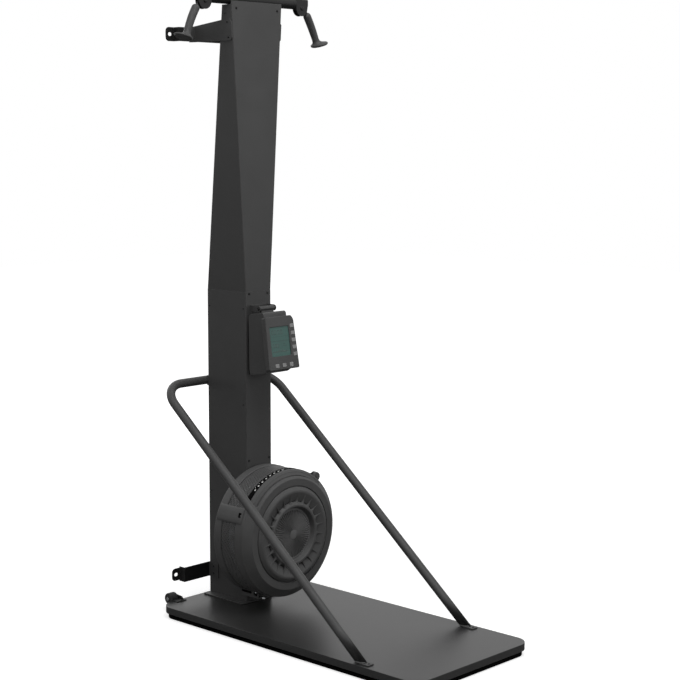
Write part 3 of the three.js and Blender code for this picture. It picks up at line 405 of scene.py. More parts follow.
def powder_coat(name, pale, dark, roughness):
    """Powder coat on steel: an even satin paint with a fine orange peel, clouds of slightly different gloss,
    and a paler line along each edge, a painted highlight. The peel of 0.8 mm is drawn at 2.2 mm to show."""
    coat, tree, place = surface(name)
    gloss = spread(tree, noise(tree, place, 1000 / 9, 5.0), roughness - 0.05, roughness + 0.07, 0.3, 0.7)
    colour = edge_highlight(tree, mottled(tree, place, pale, dark, 140.0), "#707070", 1.6, 0.3, 0.9)
    shaded(tree, colour, gloss, 0.25, height=noise(tree, place, 2.2), bump=(0.22, 0.3))
    return coat


POST = {"half": 63.2, "front": 382.0, "back": 586.0, "low": 50.8, "high": 1197.0}
FAN_Z = 324.5
# The machine's main colour, a dark satin grey, and its near black partner on the bar and the straps.
grey_coat = powder_coat("dark_grey_powder_coat_on_steel", "#454545", "#404040", 0.5)
black_coat = powder_coat("black_powder_coat_on_steel", "#1a1a1a", "#161616", 0.5)

make("post_foot_plate_welded", [slab((-95, 378), (95, 590), 8, [(0.6, 45.5), (0, 46.1), (0, 49.9), (0.6, 50.5)])],
     grey_coat, "post_foot_plate")
post_loop = channel_outline(POST["half"], POST["front"], POST["back"])
bearing_hole = spun(rect(0, 376, 24.3, 392), 48, (0, 0, FAN_Z))
make("lower_post_channel", [prism(post_loop, 2, POST["low"], POST["high"])], grey_coat, "lower_post",
     cuts=[bearing_hole], edge=0.4)
sheet_edge = [(0.4, 583), (0, 583.4), (0, 585.6), (0.4, POST["back"])]
make("lower_post_back_sheet", [slab((-59.9, POST["low"]), (59.9, POST["high"]), 1, sheet_edge, axis=1)], grey_coat,
     "lower_post_back")

# Button-head socket screws in black oxide: satin black heads with a small round socket.
oxide = plain("black_oxide_screw_steel", "#1a1a1a", "#101010", 3.0, 0.8, (0.3, 0.45), metal=0.6)


def screw(at, out, radius=4.6, height=2.4):
    """A button head turned about the outward direction, with a round socket sunk in its crown."""
    crown = [(0, height - 1.9), (0.42, height - 1.7), (0.44, height - 0.1), (0.5, height), (0.74, height * 0.88),
             (0.93, height * 0.55), (1, height * 0.12), (1, -0.6), (0, -0.6)]
    points, quads, ends = spun(np.array(crown) * (radius, 1), 18, axis=2)
    out = np.asarray(out, float) / np.linalg.norm(out)
    aside = np.cross(out, (0.3, 0.2, 1) if abs(out[2]) < 0.9 else (1, 0, 0))
    aside = aside / np.linalg.norm(aside)
    basis = np.stack([aside, np.cross(out, aside), out])
    return points @ basis + np.asarray(at, float), quads, ends


def pairs(spots, out, *size):
    """The same screw at each (x, y, z) and at its mirror image across the machine's middle."""
    return [screw((s * x, y, z), (s * out[0], *out[1:]), *size) for s in (-1, 1) for x, y, z in spots]


LEFT, RIGHT, FRONT, REAR, UP = (-1, 0, 0), (1, 0, 0), (0, -1, 0), (0, 1, 0), (0, 0, 1)
front_spots = [(-51, 578), (51, 578), (-45.7, 1190), (45.7, 1188)]
side_spots = [(575, 1136), (395.5, 1136.5), (397.5, 785), (572.6, 441), (577, 87)]
make("post_screws", [screw((x, POST["front"], z), FRONT) for x, z in front_spots]
     + pairs([(POST["half"], y, z) for y, z in side_spots], RIGHT, 3.2, 1.6)
     + pairs([(50, POST["back"], z) for z in (140, 480, 770, 1120)], REAR, 3.6, 1.8), oxide)


def coat_node(name, finish):
    """Gives a CAD node that stays in the scene its one finish."""
    mesh = frame["nodes"][name].data
    mesh.materials.clear()
    mesh.materials.append(finish)


# Splice channel inside the joint of post and column, hidden by both, in black powder coat.
coat_node("post_splice", black_coat)


# Column. The same folded channel as the post, which widens upward and gets shallower; its front sheet
# stands a little higher than its sides and hides the cap. A tapered sheet closes the back.
COLUMN = {"low": 1197.3, "top": 2225.0, "side_top": 2210.0, "half_low": 62.5, "half_top": 124.0, "rear_top": 429.0}
RISE = COLUMN["top"] - COLUMN["low"]
SPLAY = (COLUMN["half_top"] - COLUMN["half_low"]) / RISE
SLOPE = (POST["back"] - COLUMN["rear_top"]) / RISE


def column_half(z):
    """Half the column's width at a height, on a straight line from the joint to the top."""
    return COLUMN["half_low"] + SPLAY * (z - COLUMN["low"])


def column_rear(z):
    """The column's back at a height, on a straight line from the joint to the top."""
    return POST["back"] - SLOPE * (z - COLUMN["low"])


column_rings = np.array([np.insert(channel_outline(column_half(z), POST["front"], column_rear(z)), 2, z, axis=1)
                         for z in (COLUMN["low"], COLUMN["top"])])
above_sides = box((-140, 385, COLUMN["side_top"]), (140, 600, 2240))
make("upper_column_channel", [skin(column_rings)], grey_coat, "upper_column", cuts=[above_sides], edge=0.4)
closure = np.array([[(x * (column_half(z) - 3.3), column_rear(z) + y, z) for x, y in rect(-1, -3, 1, 0)]
                    for z in (COLUMN["low"], COLUMN["side_top"])])
make("upper_column_back_sheet", [skin(closure)], grey_coat, "upper_column_back", edge=0.5)
make("column_screws", pairs([(100, POST["front"], 2200)], FRONT)
     + pairs([(column_half(2183), 418, 2183)], (1, 0, -SPLAY), 3.2, 1.6)
     + pairs([(column_half(z) - 14, column_rear(z), z) for z in (1260, 1560, 1860, 2150)], (0, 1, SLOPE), 3.6, 1.8),
     oxide)
coat_node("column_cap", grey_coat)


# Crossbar. A steel tube across the top of the column with a slot under it for each cord.
BAR_Y, BAR_Z = 404.3, 2232.0
SHEAVE_X, SHEAVE_Y, SHEAVE_Z = 236.5, 401.3, 2218.0
IDLER_X, IDLER_Z = 48.5, 2203.0
slots = [box((x, SHEAVE_Y - 6.5, 2200), (x + 46.2, SHEAVE_Y + 6.5, BAR_Z)) for x in (-69.7, 23.5)]
make("crossbar_tube", [spun(rounded(rect(16, -204.7, 19, 204.7), 0.6, 3), 64, (0, BAR_Y, BAR_Z), axis=0)],
     black_coat, "crossbar", cuts=slots)


# Pulley housings. Two cheek plates and a folded strip between them, welded to each end of the bar; the
# grooved nylon sheave turns on a bolt through both cheeks.
def arc_points(x, z, radius, start, end, count):
    """Points on a circle between two angles in degrees."""
    t = np.radians(np.linspace(start, end, count))
    return np.stack([x + radius * np.cos(t), z + radius * np.sin(t)], 1)


def both_ways(half, middle=()):
    """A profile's half, its middle points, and the half's mirror image in reverse order."""
    return [*half, *middle, *((radius, -place) for radius, place in half[::-1])]


# Glass-filled nylon, moulded and turned: near black, with a soft sheen on the running faces.
nylon = plain("glass_filled_nylon", "#1b1b1b", "#151515", 20.0, 0.9, (0.38, 0.52), 0.4,
              bump=(0.2, 0.3))

# Bright zinc on bolts, pins and bearing races: pale grey metal with fine turning marks.
zinc = plain("bright_zinc_plated_steel", "#c4c6c8", "#a9abae", 6.0, 1.2, (0.2, 0.38), metal=1.0,
             detail=3.0)

SIDES = ((-1, "left"), (1, "right"))
HOUSING = {"half": 31.5, "top": 2250.0, "low": 2225.0, "cheek": 3.0}
for side, word in SIDES:
    centre, half, top, low = side * SHEAVE_X, HOUSING["half"], HOUSING["top"], HOUSING["low"]
    outline = np.concatenate([rounded([(-half, low), (-half, top), (half, top), (half, low)], 4)[2:-2],
                              arc_points(0, SHEAVE_Z, 28.5, -15, -165, 26)]) * (side, 1) + (centre, 0)
    strip = rounded([(-half, 2213), (-half, top), (half, top), (half, low), (half - 3, low), (half - 3, top - 3),
                     (3 - half, top - 3), (3 - half, 2213)], np.array([0.5, 4, 4, 0.5, 0.5, 1.2, 1.2, 0.5]), 4)
    strip = strip * (side, 1) + (centre, 0)
    port = spun(rect(0, -6, 9, 6), 32, (side * 206.5, SHEAVE_Y, 2239), axis=0)
    near, far = SHEAVE_Y - 7.5, SHEAVE_Y + 7.5
    make(f"pulley_housing_strip_{word}", [prism(strip, 1, near, far)], black_coat, f"pulley_housing_{word}",
         cuts=[port], edge=0.3)
    make(f"pulley_housing_cheeks_{word}", [prism(outline, 1, near - HOUSING["cheek"], near),
                                           prism(outline, 1, far, far + HOUSING["cheek"])], black_coat, edge=0.5)
    pin = spun(rounded(rect(0, near - 6, 4.4, far + 6), 0.4), 24, (centre, 0, SHEAVE_Z))
    make(f"pulley_bolt_{word}", [pin, screw((centre, near - HOUSING["cheek"], SHEAVE_Z), FRONT, 8, 3),
                                 screw((centre, far + HOUSING["cheek"], SHEAVE_Z), REAR, 8, 3)], oxide)
    groove = rounded(both_ways([(5.4, -5), (9, -5), (9.4, -3.8), (15.2, -3.8), (15.6, -5), (24, -5), (24, -4.3),
                                (18.2, -2.2)]), 0.5, 3)
    make(f"top_sheave_{word}", [spun(groove, 72, (centre, SHEAVE_Y, SHEAVE_Z))], nylon, f"top_pulley_{word}",
         f"top_pulley_{word}")
    turned = rounded(both_ways([(4.4, -4.5), (20, -4.5), (20, -4), (15.7, -2.6)]), 0.4, 3)
    make(f"idler_sheave_{word}", [spun(turned, 48, (side * IDLER_X, SHEAVE_Y, IDLER_Z))], nylon, f"idler_{word}",
         f"idler_{word}")
coat_node("idler_yoke", black_coat)


# Drive cords. A braided polyester cord of 5 mm runs from each handle over its sheave, through the bar,
# over an idler and down inside the column to a spool, on which it is wound. The object holds it all the way.
def along(path, binormal, section):
    """A section of (outward, sideways) offsets carried along a path: outward is the path's direction crossed
    with the binormal, sideways is the binormal itself."""
    path, section = np.asarray(path, float), np.asarray(section, float)
    ahead = np.gradient(path, axis=0)
    ahead = ahead / np.linalg.norm(ahead, axis=1)[:, None]
    outward = np.cross(ahead, binormal)
    outward = outward / np.linalg.norm(outward, axis=1)[:, None]
    return path[:, None] + section[:, :1] * outward[:, None] + section[:, 1:] * np.asarray(binormal, float)


def circle(radius, sides):
    """Points of a circle in its own plane."""
    t = 2 * np.pi * np.arange(sides) / sides
    return np.stack([radius * np.cos(t), radius * np.sin(t)], 1)


# Braided polyester: two sets of strands cross at 45 degrees and stand up where they pass over. Real
# strands of 0.6 mm are drawn at 1.9 mm so that the braid shows.
braid, tree, place = surface("braided_polyester_cord")
waves = [node(tree, "TexWave", {
    "Vector": node(tree, "Mapping", {"Vector": place, "Rotation": (0.0, angle, 0.0)}),
    "Scale": 1 / (6.0 * MM), "Distortion": 0.4}, bands_direction="X") for angle in (0.7854, -0.7854)]
weave = node(tree, "Math", {0: waves[0].outputs["Fac"], 1: waves[1].outputs["Fac"]}, operation="MAXIMUM")
shaded(tree, blend(tree, weave, srgb("#0c0c0c"), srgb("#222222")), 0.75, 0.3, sheen=0.2, height=weave, bump=(0.6, 0.5))

HEAD = np.array([266.6, SHEAVE_Y, 2200.0])
CORD = circle(2.5, 12)
spools = {"left": 428.0, "right": 463.0}
for side, word in SIDES:
    over = arc_points(SHEAVE_X, SHEAVE_Z, 21, 22.34, 93.8, 20)
    inward = arc_points(IDLER_X, IDLER_Z, 18.5, 93.8, 180, 20)
    flat = np.insert(np.concatenate([over, inward]), 1, SHEAVE_Y, axis=1) * (side, 1, 1)
    coil = np.insert(arc_points(0, FAN_Z, 30, 180, 450, 60), 1, spools[word] + np.linspace(-2.6, 2.6, 60), axis=1)
    route = np.concatenate([flat, np.linspace(flat[-1], coil[0], 12)[1:-1], coil])
    make(f"cord_run_{word}", [skin(along(route, (0, 1, 0), CORD))], braid, f"drive_cord_{word}")
    head = HEAD * (side, 1, 1)
    pull = make(f"cord_pull_{word}", [skin(along(np.linspace(flat[0], head, 24), (0, 1, 0), CORD))], braid, body=None)
    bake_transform(pull)
    reel = rounded(both_ways([(8.4, -9), (36, -9), (36, -8.7), (27.2, -6)]), 0.5, 3)
    make(f"cord_spool_{word}", [spun(reel, 56, (0, spools[word], FAN_Z))], zinc, f"drive_drum_{word}", f"drum_{word}")


# Pull handles. Moulded nylon grips that lean outward and curve a little, thick at the top, drawn in to a
# neck, and flared at the lower end to a foot that stops the hand. The cord is knotted under the top.
# Their plastic is a dark matt grey, softly pebbled for the hand.
grip_plastic = plain("soft_touch_nylon_grip", "#424242", "#3c3c3c", 30.0, 1.5, (0.48, 0.62), 0.3,
                     bump=(0.2, 0.4), feature="F1")
GRIP = {"long": 124.0, "above": 0.012, "lean": 33.0, "end_lean": 19.0}


def grip_rings(side, sides=48, steps=110):
    """Circles along a curve that leans out by 33 degrees at the top and 19 at the end; the radius and the
    shift of each circle follow its share of the length, both softened by a running mean."""
    share = np.linspace(-GRIP["above"], 1.05, steps)
    stops = [-0.012, 0, 0.03, 0.08, 0.35, 0.6, 0.82, 0.88, 0.92, 0.955, 0.978, 0.985, 1, 1.02, 1.032, 1.05]
    radii = [5, 8.6, 12.6, 14.5, 14.3, 13.7, 12.9, 13.6, 16.6, 23, 30.6, 32.2, 32.7, 32.7, 32.2, 29]
    shifts = [0, 0, 0, 0, 0, 0, 0, 0.8, 2.4, 6, 10.5, 11.4, 12, 12, 12, 12]
    kernel = np.array([1, 2, 3, 2, 1]) / 9
    radius, shift = np.interp(share, stops, radii), np.interp(share, stops, shifts)
    middle = slice(6, -14)
    radius[middle] = np.convolve(radius, kernel, "same")[middle]
    shift[middle] = np.convolve(shift, kernel, "same")[middle]
    angle = np.radians(GRIP["lean"] + (GRIP["end_lean"] - GRIP["lean"]) * share)
    ahead = np.stack([np.sin(angle), 0 * angle, -np.cos(angle)], 1)
    out = np.stack([np.cos(angle), 0 * angle, np.sin(angle)], 1)
    gap = np.diff(share, prepend=share[0])[:, None] * GRIP["long"]
    spine = np.cumsum(ahead * gap, axis=0) + np.array([0, 0, GRIP["above"] * GRIP["long"]])
    spine[:, 1] = -4 * np.clip(share, 0, None) ** 2
    spine = spine + out * shift[:, None]
    turn = circle(1, sides)
    ring = out[:, None] * turn[None, :, :1] + np.array([0, 1, 0]) * turn[None, :, 1:]
    return ((spine[:, None] + radius[:, None, None] * ring) + HEAD) * (side, 1, 1)


for side, word in SIDES:
    make(f"pull_grip_{word}", [skin(grip_rings(side))], grip_plastic, f"handle_grip_{word}", f"handle_{word}")
    collar = rounded([(2.7, -3), (5.6, -3), (6.2, 1), (5.6, 3.4), (2.7, 3.4)], 0.8, 3)
    points, quads, ends = spun(collar, 24, axis=2)
    cos, sin = np.cos(np.radians(GRIP["lean"])), np.sin(np.radians(GRIP["lean"]))
    points = (points @ np.array([[cos, 0, sin], [0, 1, 0], [-sin, 0, cos]]) + HEAD + (0, 0, 2)) * (side, 1, 1)
    make(f"grip_collar_{word}", [(points, quads, ends)], nylon, body=f"handle_{word}")


# Fan drum, rear housing. A moulded ABS pan bolted to the post, with a rounded rim behind and a raised
# bead in front, where the mesh band is let in.
def moulded(name, pale, dark, roughness, grain=1.8, level=0.2):
    """Spark-eroded moulded plastic: a fine leather-like grain from the mould, clouds of slightly different
    gloss, and edges a little paler, a painted highlight. The grain of 0.3 mm is drawn coarser to show."""
    plastic, tree, place = surface(name)
    gloss = spread(tree, noise(tree, place, 1000 / 14, 5.0), roughness - 0.06, roughness + 0.06, 0.3, 0.7)
    colour = edge_highlight(tree, mottled(tree, place, pale, dark, 50.0), "#737373", 1.4, 0.25, 0.88)
    shaded(tree, colour, gloss, level, height=cells(tree, place, grain), bump=(0.25, 0.4))
    return plastic


# The drum's plastic is a shade lighter than the steel, and matt.
drum_abs = moulded("moulded_abs_drum_dark_grey", "#545454", "#4d4d4d", 0.5)
AXIS = (0, 0, FAN_Z)
rear_profile = rounded([
    (14, 381.7), (226, 381.7), (235, 372.7), (235, 344), (233.4, 342.4), (233.4, 338.7), (232, 338.7), (232, 372.4),
    (223.3, 378.7), (14, 378.7)], np.array([0.8, 5, 3, 1, 0.6, 0.5, 0.5, 4, 4, 0.8]), 5)
make("fan_rear_pan", [spun(rear_profile, 160, AXIS)], drum_abs, "fan_rear_housing")


# Mesh band between the two halves of the drum, where the air leaves: expanded steel with diamond holes,
# rolled to a hoop. Each diamond is a frame of four strips round its hole.
def swung(points, degrees):
    """Points of (radius, depth, sideways) turned by an angle about the drum's axis: radius cos t minus
    sideways sin t across, and radius sin t plus sideways cos t up."""
    t = np.radians(degrees)
    radius, depth, aside = np.moveaxis(np.asarray(points, float), -1, 0)
    return np.stack([radius * np.cos(t) - aside * np.sin(t), depth, FAN_Z + radius * np.sin(t) + aside * np.cos(t)], -1)


def around(radius, depth, degrees):
    """Points at a radius, a depth and an angle round the drum's axis."""
    return swung(np.stack(np.broadcast_arrays(radius, depth, 0.0 * degrees), -1), degrees)


def diamonds(columns, rows, hole):
    """A diamond lattice over the unit square, wrapping in u: corners and centres of the diamonds, each one a
    frame of four strips from its own corners to the same corners drawn in towards its centre."""
    i, j = [k.ravel() for k in np.meshgrid(np.arange(2 * columns), np.arange(1, 2 * rows), indexing="ij")]
    keep = (i + j) % 2 == 1
    middle = np.stack([i[keep], j[keep]], 1)[:, None]
    corner = middle + np.array([(1, 0), (0, 1), (-1, 0), (0, -1)])
    spots = np.concatenate([corner, middle + (corner - middle) * hole]).reshape(-1, 2) / (2 * columns, 2 * rows)
    k = np.arange(len(middle) * 4).reshape(-1, 4)
    after = np.roll(k, -1, 1)
    return spots, np.stack([k, after, after + k.size, k + k.size], -1).reshape(-1, 4)


def lattice(name, pattern, radii, depths, thick, finish, cad):
    """A diamond pattern laid round the axis, its v running between two radii and two depths, its doubles
    merged, given a thickness."""
    spots, faces = diamonds(*pattern)
    radius, depth = [a + (b - a) * spots[:, 1] for a, b in (radii, depths)]
    mesh = mesh_of(name, [(around(radius, depth, 360 * spots[:, 0]), faces, [])], 2e-5, closed=False)
    wall = linked(name, mesh).modifiers.new("wall", "SOLIDIFY")
    wall.thickness, wall.offset = thick * MM, 0.0
    settle(bpy.data.objects[name], finish, cad, "root")


# A lighter grey coat that the many thin strips bring down to the drum's tone.
mesh_coat = powder_coat("grey_coated_expanded_steel", "#646464", "#5c5c5c", 0.5)
lattice("fan_mesh_hoop", (112, 9, 0.68), (232.2, 232.2), (268.5, 338.1), 1.0, mesh_coat, "fan_mesh_band")


# Front cover. One moulding: a deep skirt with a slot for the damper, a thin bead, a shoulder like a cone
# with a sunk arc groove, a flat ring, a creased raised ring, and a funnel down to the inlet mesh.
CHANNEL = {"middle": 218.3, "half": 7.2, "from": 47.0, "to": 143.0, "floor": 221.0, "lean": 0.42, "slit": 213.1,
           "deep": 228.0, "wall": 2.4, "end": 217.0, "ease": 0.5}
NOTCH = {"from": 72.4, "to": 140.5, "near": 237.2, "far": 259.6}
CONE = {"radius": 203.0, "depth": 206.9, "slope": (228.7 - 206.9) / (230.0 - 203.0)}


def wedge(r0, r1, start, end, low, high, steps=6):
    """A block between two radii, two angles in degrees and two depths, round the drum's axis."""
    loop = np.concatenate([arc_points(0, FAN_Z, r1, start, end, steps), arc_points(0, FAN_Z, r0, end, start, steps)])
    return prism(loop, 1, low, high)


def sunk(radius, angle, half):
    """How far a point of the cover lies inside the arc groove, from 0 at its rim to 1 on its floor: one
    minus the distance to the groove's middle line, over a wall of 0.5 mm; its ends are nearly square."""
    past = np.radians(np.maximum(np.maximum(CHANNEL["from"] - angle, angle - CHANNEL["to"]), 0)) * CHANNEL["end"]
    gap = (np.abs(radius - CHANNEL["middle"]) ** 6 + (past + (half - 1.0) * (past > 0)) ** 6) ** (1 / 6)
    return np.clip((half - gap) / CHANNEL["ease"], 0, 1)


def on_cone(radii, behind=0.0):
    """Points of the shoulder's cone at some radii, a little behind it: a straight slope outwards from its
    inner edge."""
    radii = np.array(radii)
    return np.stack([radii, CONE["depth"] + behind + (radii - CONE["radius"]) * CONE["slope"]], 1)


def cover_rings():
    """The cover as a profile turned round the axis at uneven angles: the skirt, the bead, the cone from
    radius 230 to 203, the flat ring, the raised ring and the funnel, then back along the lining."""
    angles = [np.arange(0, 360, 1.8)]
    close = np.array([-1.2, 0.02, 0.12, 0.24, 0.36, 0.6])
    angles += [CHANNEL["from"] - close, CHANNEL["to"] + close]
    angles = np.unique(np.concatenate(angles))[:, None]
    skirt = [(232.4, 267.7), (234.5, 267.7), (235, 267.2), (235, 257), (235, 250), (235, 243), (235, 239.6),
             (234.7, 237), (233.9, 234.6), (232.9, 232.6), (232.2, 231.6), (232.7, 231.1), (232.7, 230.1),
             (232, 229.5), (231, 229.3), (230, 228.7)]
    cone = on_cone([229.6, 227.5, 226.1, 225.6, 225.2, 224.8, 223.5, 219, 216, 214.2, 213.5, 213.2, 212.9, 212.4, 211.9,
                    211.5, 211.1, 210.7, 210.2, 207, 204.6])
    front = rounded([
        (204.4, 208.1), (203, 206.8), (177.6, 206.6), (176.8, 212.4), (174.8, 212.4), (173.8, 206.2), (162, 198),
        (156.6, 197.4), (153, 197.6), (122.4, 207.4), (122, 209.8), (124.6, 209.6), (153.4, 200.6), (158.6, 200.7),
        (169.6, 211.6), (171.8, 215.6), (179.6, 215.6), (181.6, 210), (203, 210)],
        np.array([0.1, 0.7, 0.4, 0.4, 0.4, 0.8, 3, 0.8, 1.4, 0.5, 0.5, 0.6, 1, 1, 1, 1, 1, 1, 0.1]), 4)[5:-5]
    inside = on_cone([204, 207, 208.2, 209.4, 210.6, 217, 223.4, 224.6, 225.8, 228.4], 3.5)
    rear = [(230.6, 233.4), (232.8, 237.2), (233.8, 239), (233.8, 260), (232, 262.4)]
    parts = [skirt, cone, front, inside, rear]
    zone = np.repeat([0, 1, 0, 2, 0], [len(part) for part in parts])
    radius, depth = np.concatenate(parts).T
    dip = np.where(zone == 1, sunk(radius, angles, CHANNEL["half"]), 0)
    dip = np.where(zone == 2, sunk(radius, angles, CHANNEL["half"] + CHANNEL["wall"]), dip)
    floor = CHANNEL["floor"] + CHANNEL["lean"] * (radius - CHANNEL["slit"])
    floor = np.where(radius > CHANNEL["slit"], floor, CHANNEL["deep"])
    floor = np.where(zone == 2, CHANNEL["deep"] + CHANNEL["wall"], floor)
    return around(radius, depth + dip * (floor - depth), angles)


hub_profile = rounded([
    (119.4, 205.4), (111.6, 196), (109.4, 195), (103.6, 195), (101.6, 196.6), (96, 211.6), (88, 211.8), (88, 214.8),
    (99, 214.8), (104.6, 199), (108.6, 198.8), (117.4, 209.4), (119.4, 209.4)],
    np.array([0.6, 1.6, 1.6, 1.6, 1.6, 2, 0.6, 0.6, 1.5, 1.5, 1, 0.6, 0.6]), 4)
arc_slot = wedge(228, 238, NOTCH["from"], NOTCH["to"], NOTCH["near"], NOTCH["far"], 40)
make("fan_cover_moulding", [skin(cover_rings(), closed=True)], drum_abs, "fan_front_cover", cuts=[arc_slot])
make("fan_hub_ring", [spun(hub_profile, 144, AXIS)], drum_abs)


# Inlet ribs: 24 fins across the funnel, moulded with the cover, thin outside and broad where they run
# into the hub ring.
def fins(count):
    """Fins round the axis: a rectangle with rounded front corners whose half width falls from 11.5 to 1.1 mm
    along the radius, between a crest and a foot, turned to each of the even angles."""
    reach, half, crest, foot = np.array([
        (112, 11.5, 197.6, 209), (114.5, 9.6, 198.2, 209), (117, 7.2, 198.9, 209), (120, 4.8, 199.5, 209),
        (123, 3.2, 199.8, 208.6), (127, 2.1, 199.9, 207), (133, 1.5, 199.7, 205), (143, 1.2, 199, 201.8),
        (151.5, 1.1, 198.2, 199.2), (154.5, 1.1, 198.4, 198.9)]).T[:, :, None]
    u, v = np.array([(-1, 1), (-1, 0.22), (-0.72, 0.04), (-0.3, 0), (0.3, 0), (0.72, 0.04), (1, 0.22), (1, 1)]).T
    one = np.stack([reach + 0 * u, crest + (foot - crest) * v, half * u], -1)
    return [skin(swung(one, angle)) for angle in 360 * (np.arange(count) + 0.5) / count]


make("fan_inlet_fins", fins(24), drum_abs, edge=0.25)

# Inlet mesh behind the fins: a flat disc of black expanded steel that keeps fingers off the blades.
dark_mesh = powder_coat("black_coated_inlet_mesh", "#1a1a1a", "#161616", 0.55)
lattice("fan_inlet_mesh", (90, 4, 0.6), (112.4, 158), (210.6, 210.6), 0.8, dark_mesh, "fan_inlet_screen")


# Centre cap: a shallow dome clipped into the hub ring, with 60 fine radial slots round a plain boss.
def cap_rings():
    """A dome turned round the axis, its front drawn back by slots: their depth is a rounded square wave of
    60 to the turn, faded out towards the boss and the rim."""
    front = [(0, 202.6), (8, 202.7), (11.6, 202.8), (12.8, 203.1), (13.8, 203.2), (15.4, 203.25), (16.6, 203.3),
             (18, 203.3), (24, 203.55), (32, 204), (40, 204.6), (50, 205.5), (60, 206.5), (70, 207.7), (78, 208.8),
             (84, 209.7), (86.6, 210.1), (87.8, 210.3), (90, 210.7), (92.4, 211.2), (94, 211.8), (95.2, 212.8)]
    rear = [(95.2, 215.4), (88, 216), (60, 213), (18, 210), (0, 210)]
    radius, depth = np.array(front + rear).T
    angle = np.arange(720)[:, None] / 2
    wave = np.clip(0.5 + 2 * np.cos(60 * np.radians(angle)), 0, 1)
    fade = np.clip(np.minimum(radius - 16.6, 87.8 - radius) / 1.2, 0, 1)
    fade[len(front):] = 0
    return around(radius, depth + 4.4 * wave * fade * np.clip(radius / 50, 0.4, 1), angle)


# The dome is paler than the drum round it, as its slots darken it again.
dome_abs = moulded("moulded_abs_dome_grey", "#686868", "#606060", 0.5)
make("fan_centre_dome", [skin(cap_rings(), closed=True)], dome_abs, "fan_centre_cap")


# Damper. A black nylon ring inside the skirt with a finger knob in the slot and white printed dots,
# turned by hand to open or close the air path. The nylon is dead matt and blacker than the sheaves' nylon, so that the
# slot reads as a gap: its own black with painted shade. The same black is painted shade in the clamp lugs.
black_nylon_and_shade = plain("matt_black_nylon_and_painted_shade", "#0a0a0a", "#060606", 8.0, 1.2, (0.75, 0.9), 0.04,
                   detail=3.0)
make("damper_hoop", [spun(rounded(rect(230.2, 239.8, 233.3, 258.8), 0.4, 2), 144, AXIS)], black_nylon_and_shade, "damper_ring",
     "damper")
make("damper_knob", [wedge(232.5, 236.6, 132.9, 139.2, 240.6, 257.4, 10)], black_nylon_and_shade, body="damper", edge=0.9,
     segments=3)
# Screen-printed white ink, the brightest spots of the machine.
print_white = plain("white_printed_dots", "#f4f4f2", "#e4e4e2", 4.0, 1.5, (0.45, 0.65), detail=3.0)


def dot(angle, depth, reach):
    """A flat round dot on the damper ring, its thickness along the radius at that angle."""
    points, quads, ends = spun(rect(0, 232.6, reach, 233.7), 16, axis=0)
    return swung(points + (0, depth, 0), angle), quads, ends


DOT_STEP = 5.25
make("damper_scale_dots", [dot(start - DOT_STEP * k, depth, reach) for start, depth, reach in (
    (129.5, 248.2, 3.3), (126.9, 254.8, 1.4)) for k in range(8)], print_white, body="damper")


# Fan wheel inside the drum: an aluminium disc with curved blades on a steel hub, on the axle that runs
# in two flanged bearings in the post. Seen only through the mesh, as bright metal with turned rings.
aluminium, tree, place = surface("spun_aluminium_fan")
rings_at = node(tree, "Mapping", {"Vector": place, "Location": (0.0, 0.0, -FAN_Z * MM)})
marks = node(tree, "TexWave", {"Vector": rings_at, "Scale": 1 / (9.0 * MM), "Distortion": 0.6},
             wave_type="RINGS", rings_direction="Y")
shaded(tree, mottled(tree, place, "#9a9c9f", "#8a8c8f", 40.0), spread(tree, marks.outputs["Fac"], 0.34, 0.5), metal=1.0)


def blade(angle):
    """One blade: a thin curved strip from radius 127 to 197, swept by 16 degrees times the square of the
    share of its length, set on edge between the disc and the front."""
    share = np.linspace(0, 1, 12)[:, None]
    t = np.radians(angle + 16 * share ** 2)
    middle = (127 + 70 * share) * np.hstack([np.cos(t), np.sin(t)])
    aside = np.hstack([-np.sin(t), np.cos(t)]) * 1.1
    return prism(np.concatenate([middle + aside, (middle - aside)[::-1]]) + (0, FAN_Z), 1, 273.2, 332)


wheel_profile = rounded([(8.3, 253), (24, 253), (24, 329.7), (197, 329.7), (197, 333.7), (24, 333.7), (24, 345.5),
                         (8.3, 345.5)], np.array([0.6, 1.5, 4, 0.6, 0.6, 4, 1.5, 0.6]), 4)
make("fan_wheel_disc_and_blades", [spun(wheel_profile, 120, AXIS)] + [blade(20 * k) for k in range(18)],
     aluminium, "fan_wheel", "fan_rotor")
(_, axle_near, _), (_, axle_far, _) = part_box("fan_axle")
make("fan_shaft", [spun(rounded(rect(0, axle_near / MM, 8, axle_far / MM), 1, 3), 40, AXIS)], zinc, "fan_axle",
     "fan_rotor")
front_race = [(8.4, 382.2), (24, 382.2), (24, 385.3), (32, 385.3), (32, 389.3), (24, 389.3), (24, 396), (8.4, 396)]
rear_race = [(8.4, 568.7), (24, 568.7), (24, 578.7), (32, 578.7), (32, 582.7), (8.4, 582.7)]
for word, corners in (("front", front_race), ("rear", rear_race)):
    make(f"bearing_{word}_housing", [spun(rounded(corners, 0.6, 3), 48, AXIS)], zinc, f"bearing_{word}")


# Clamp lugs that hold the two halves of the drum together: a broad saddle on the left with a sunk latch
# pocket, one with a round knob at the right, and one below with a slot, a sunk screw and a bright bolt.
def saddle(start, end, top, near_start, near_end, far, low=235.1):
    """A lug over the drum's rim: between two angles its outside swells from radius 236.2 to the top by the
    root of a cosine, its front end slants from one depth to the other, and both ends are eased."""
    share = np.linspace(-1, 1, 17)
    angle = (start + end) / 2 + share * (end - start) / 2
    out = 236.2 + (top - 236.2) * np.cos(share * np.pi / 2) ** 0.5
    near = near_start + (near_end - near_start) * (share + 1) / 2
    angle, near = [np.concatenate([line, line[::-1]]) for line in (angle, near)]
    swell = np.concatenate([out - low, np.zeros(17)])
    ease = [(0, 2.2), (0.7, 0.8), (2.2, 0)]
    ends = [(near + step, inset) for step, inset in ease] + [(far - step, inset) for step, inset in ease[::-1]]
    return skin(np.array([around(low + swell * (1 - inset / 6), depth, angle) for depth, inset in ends]))


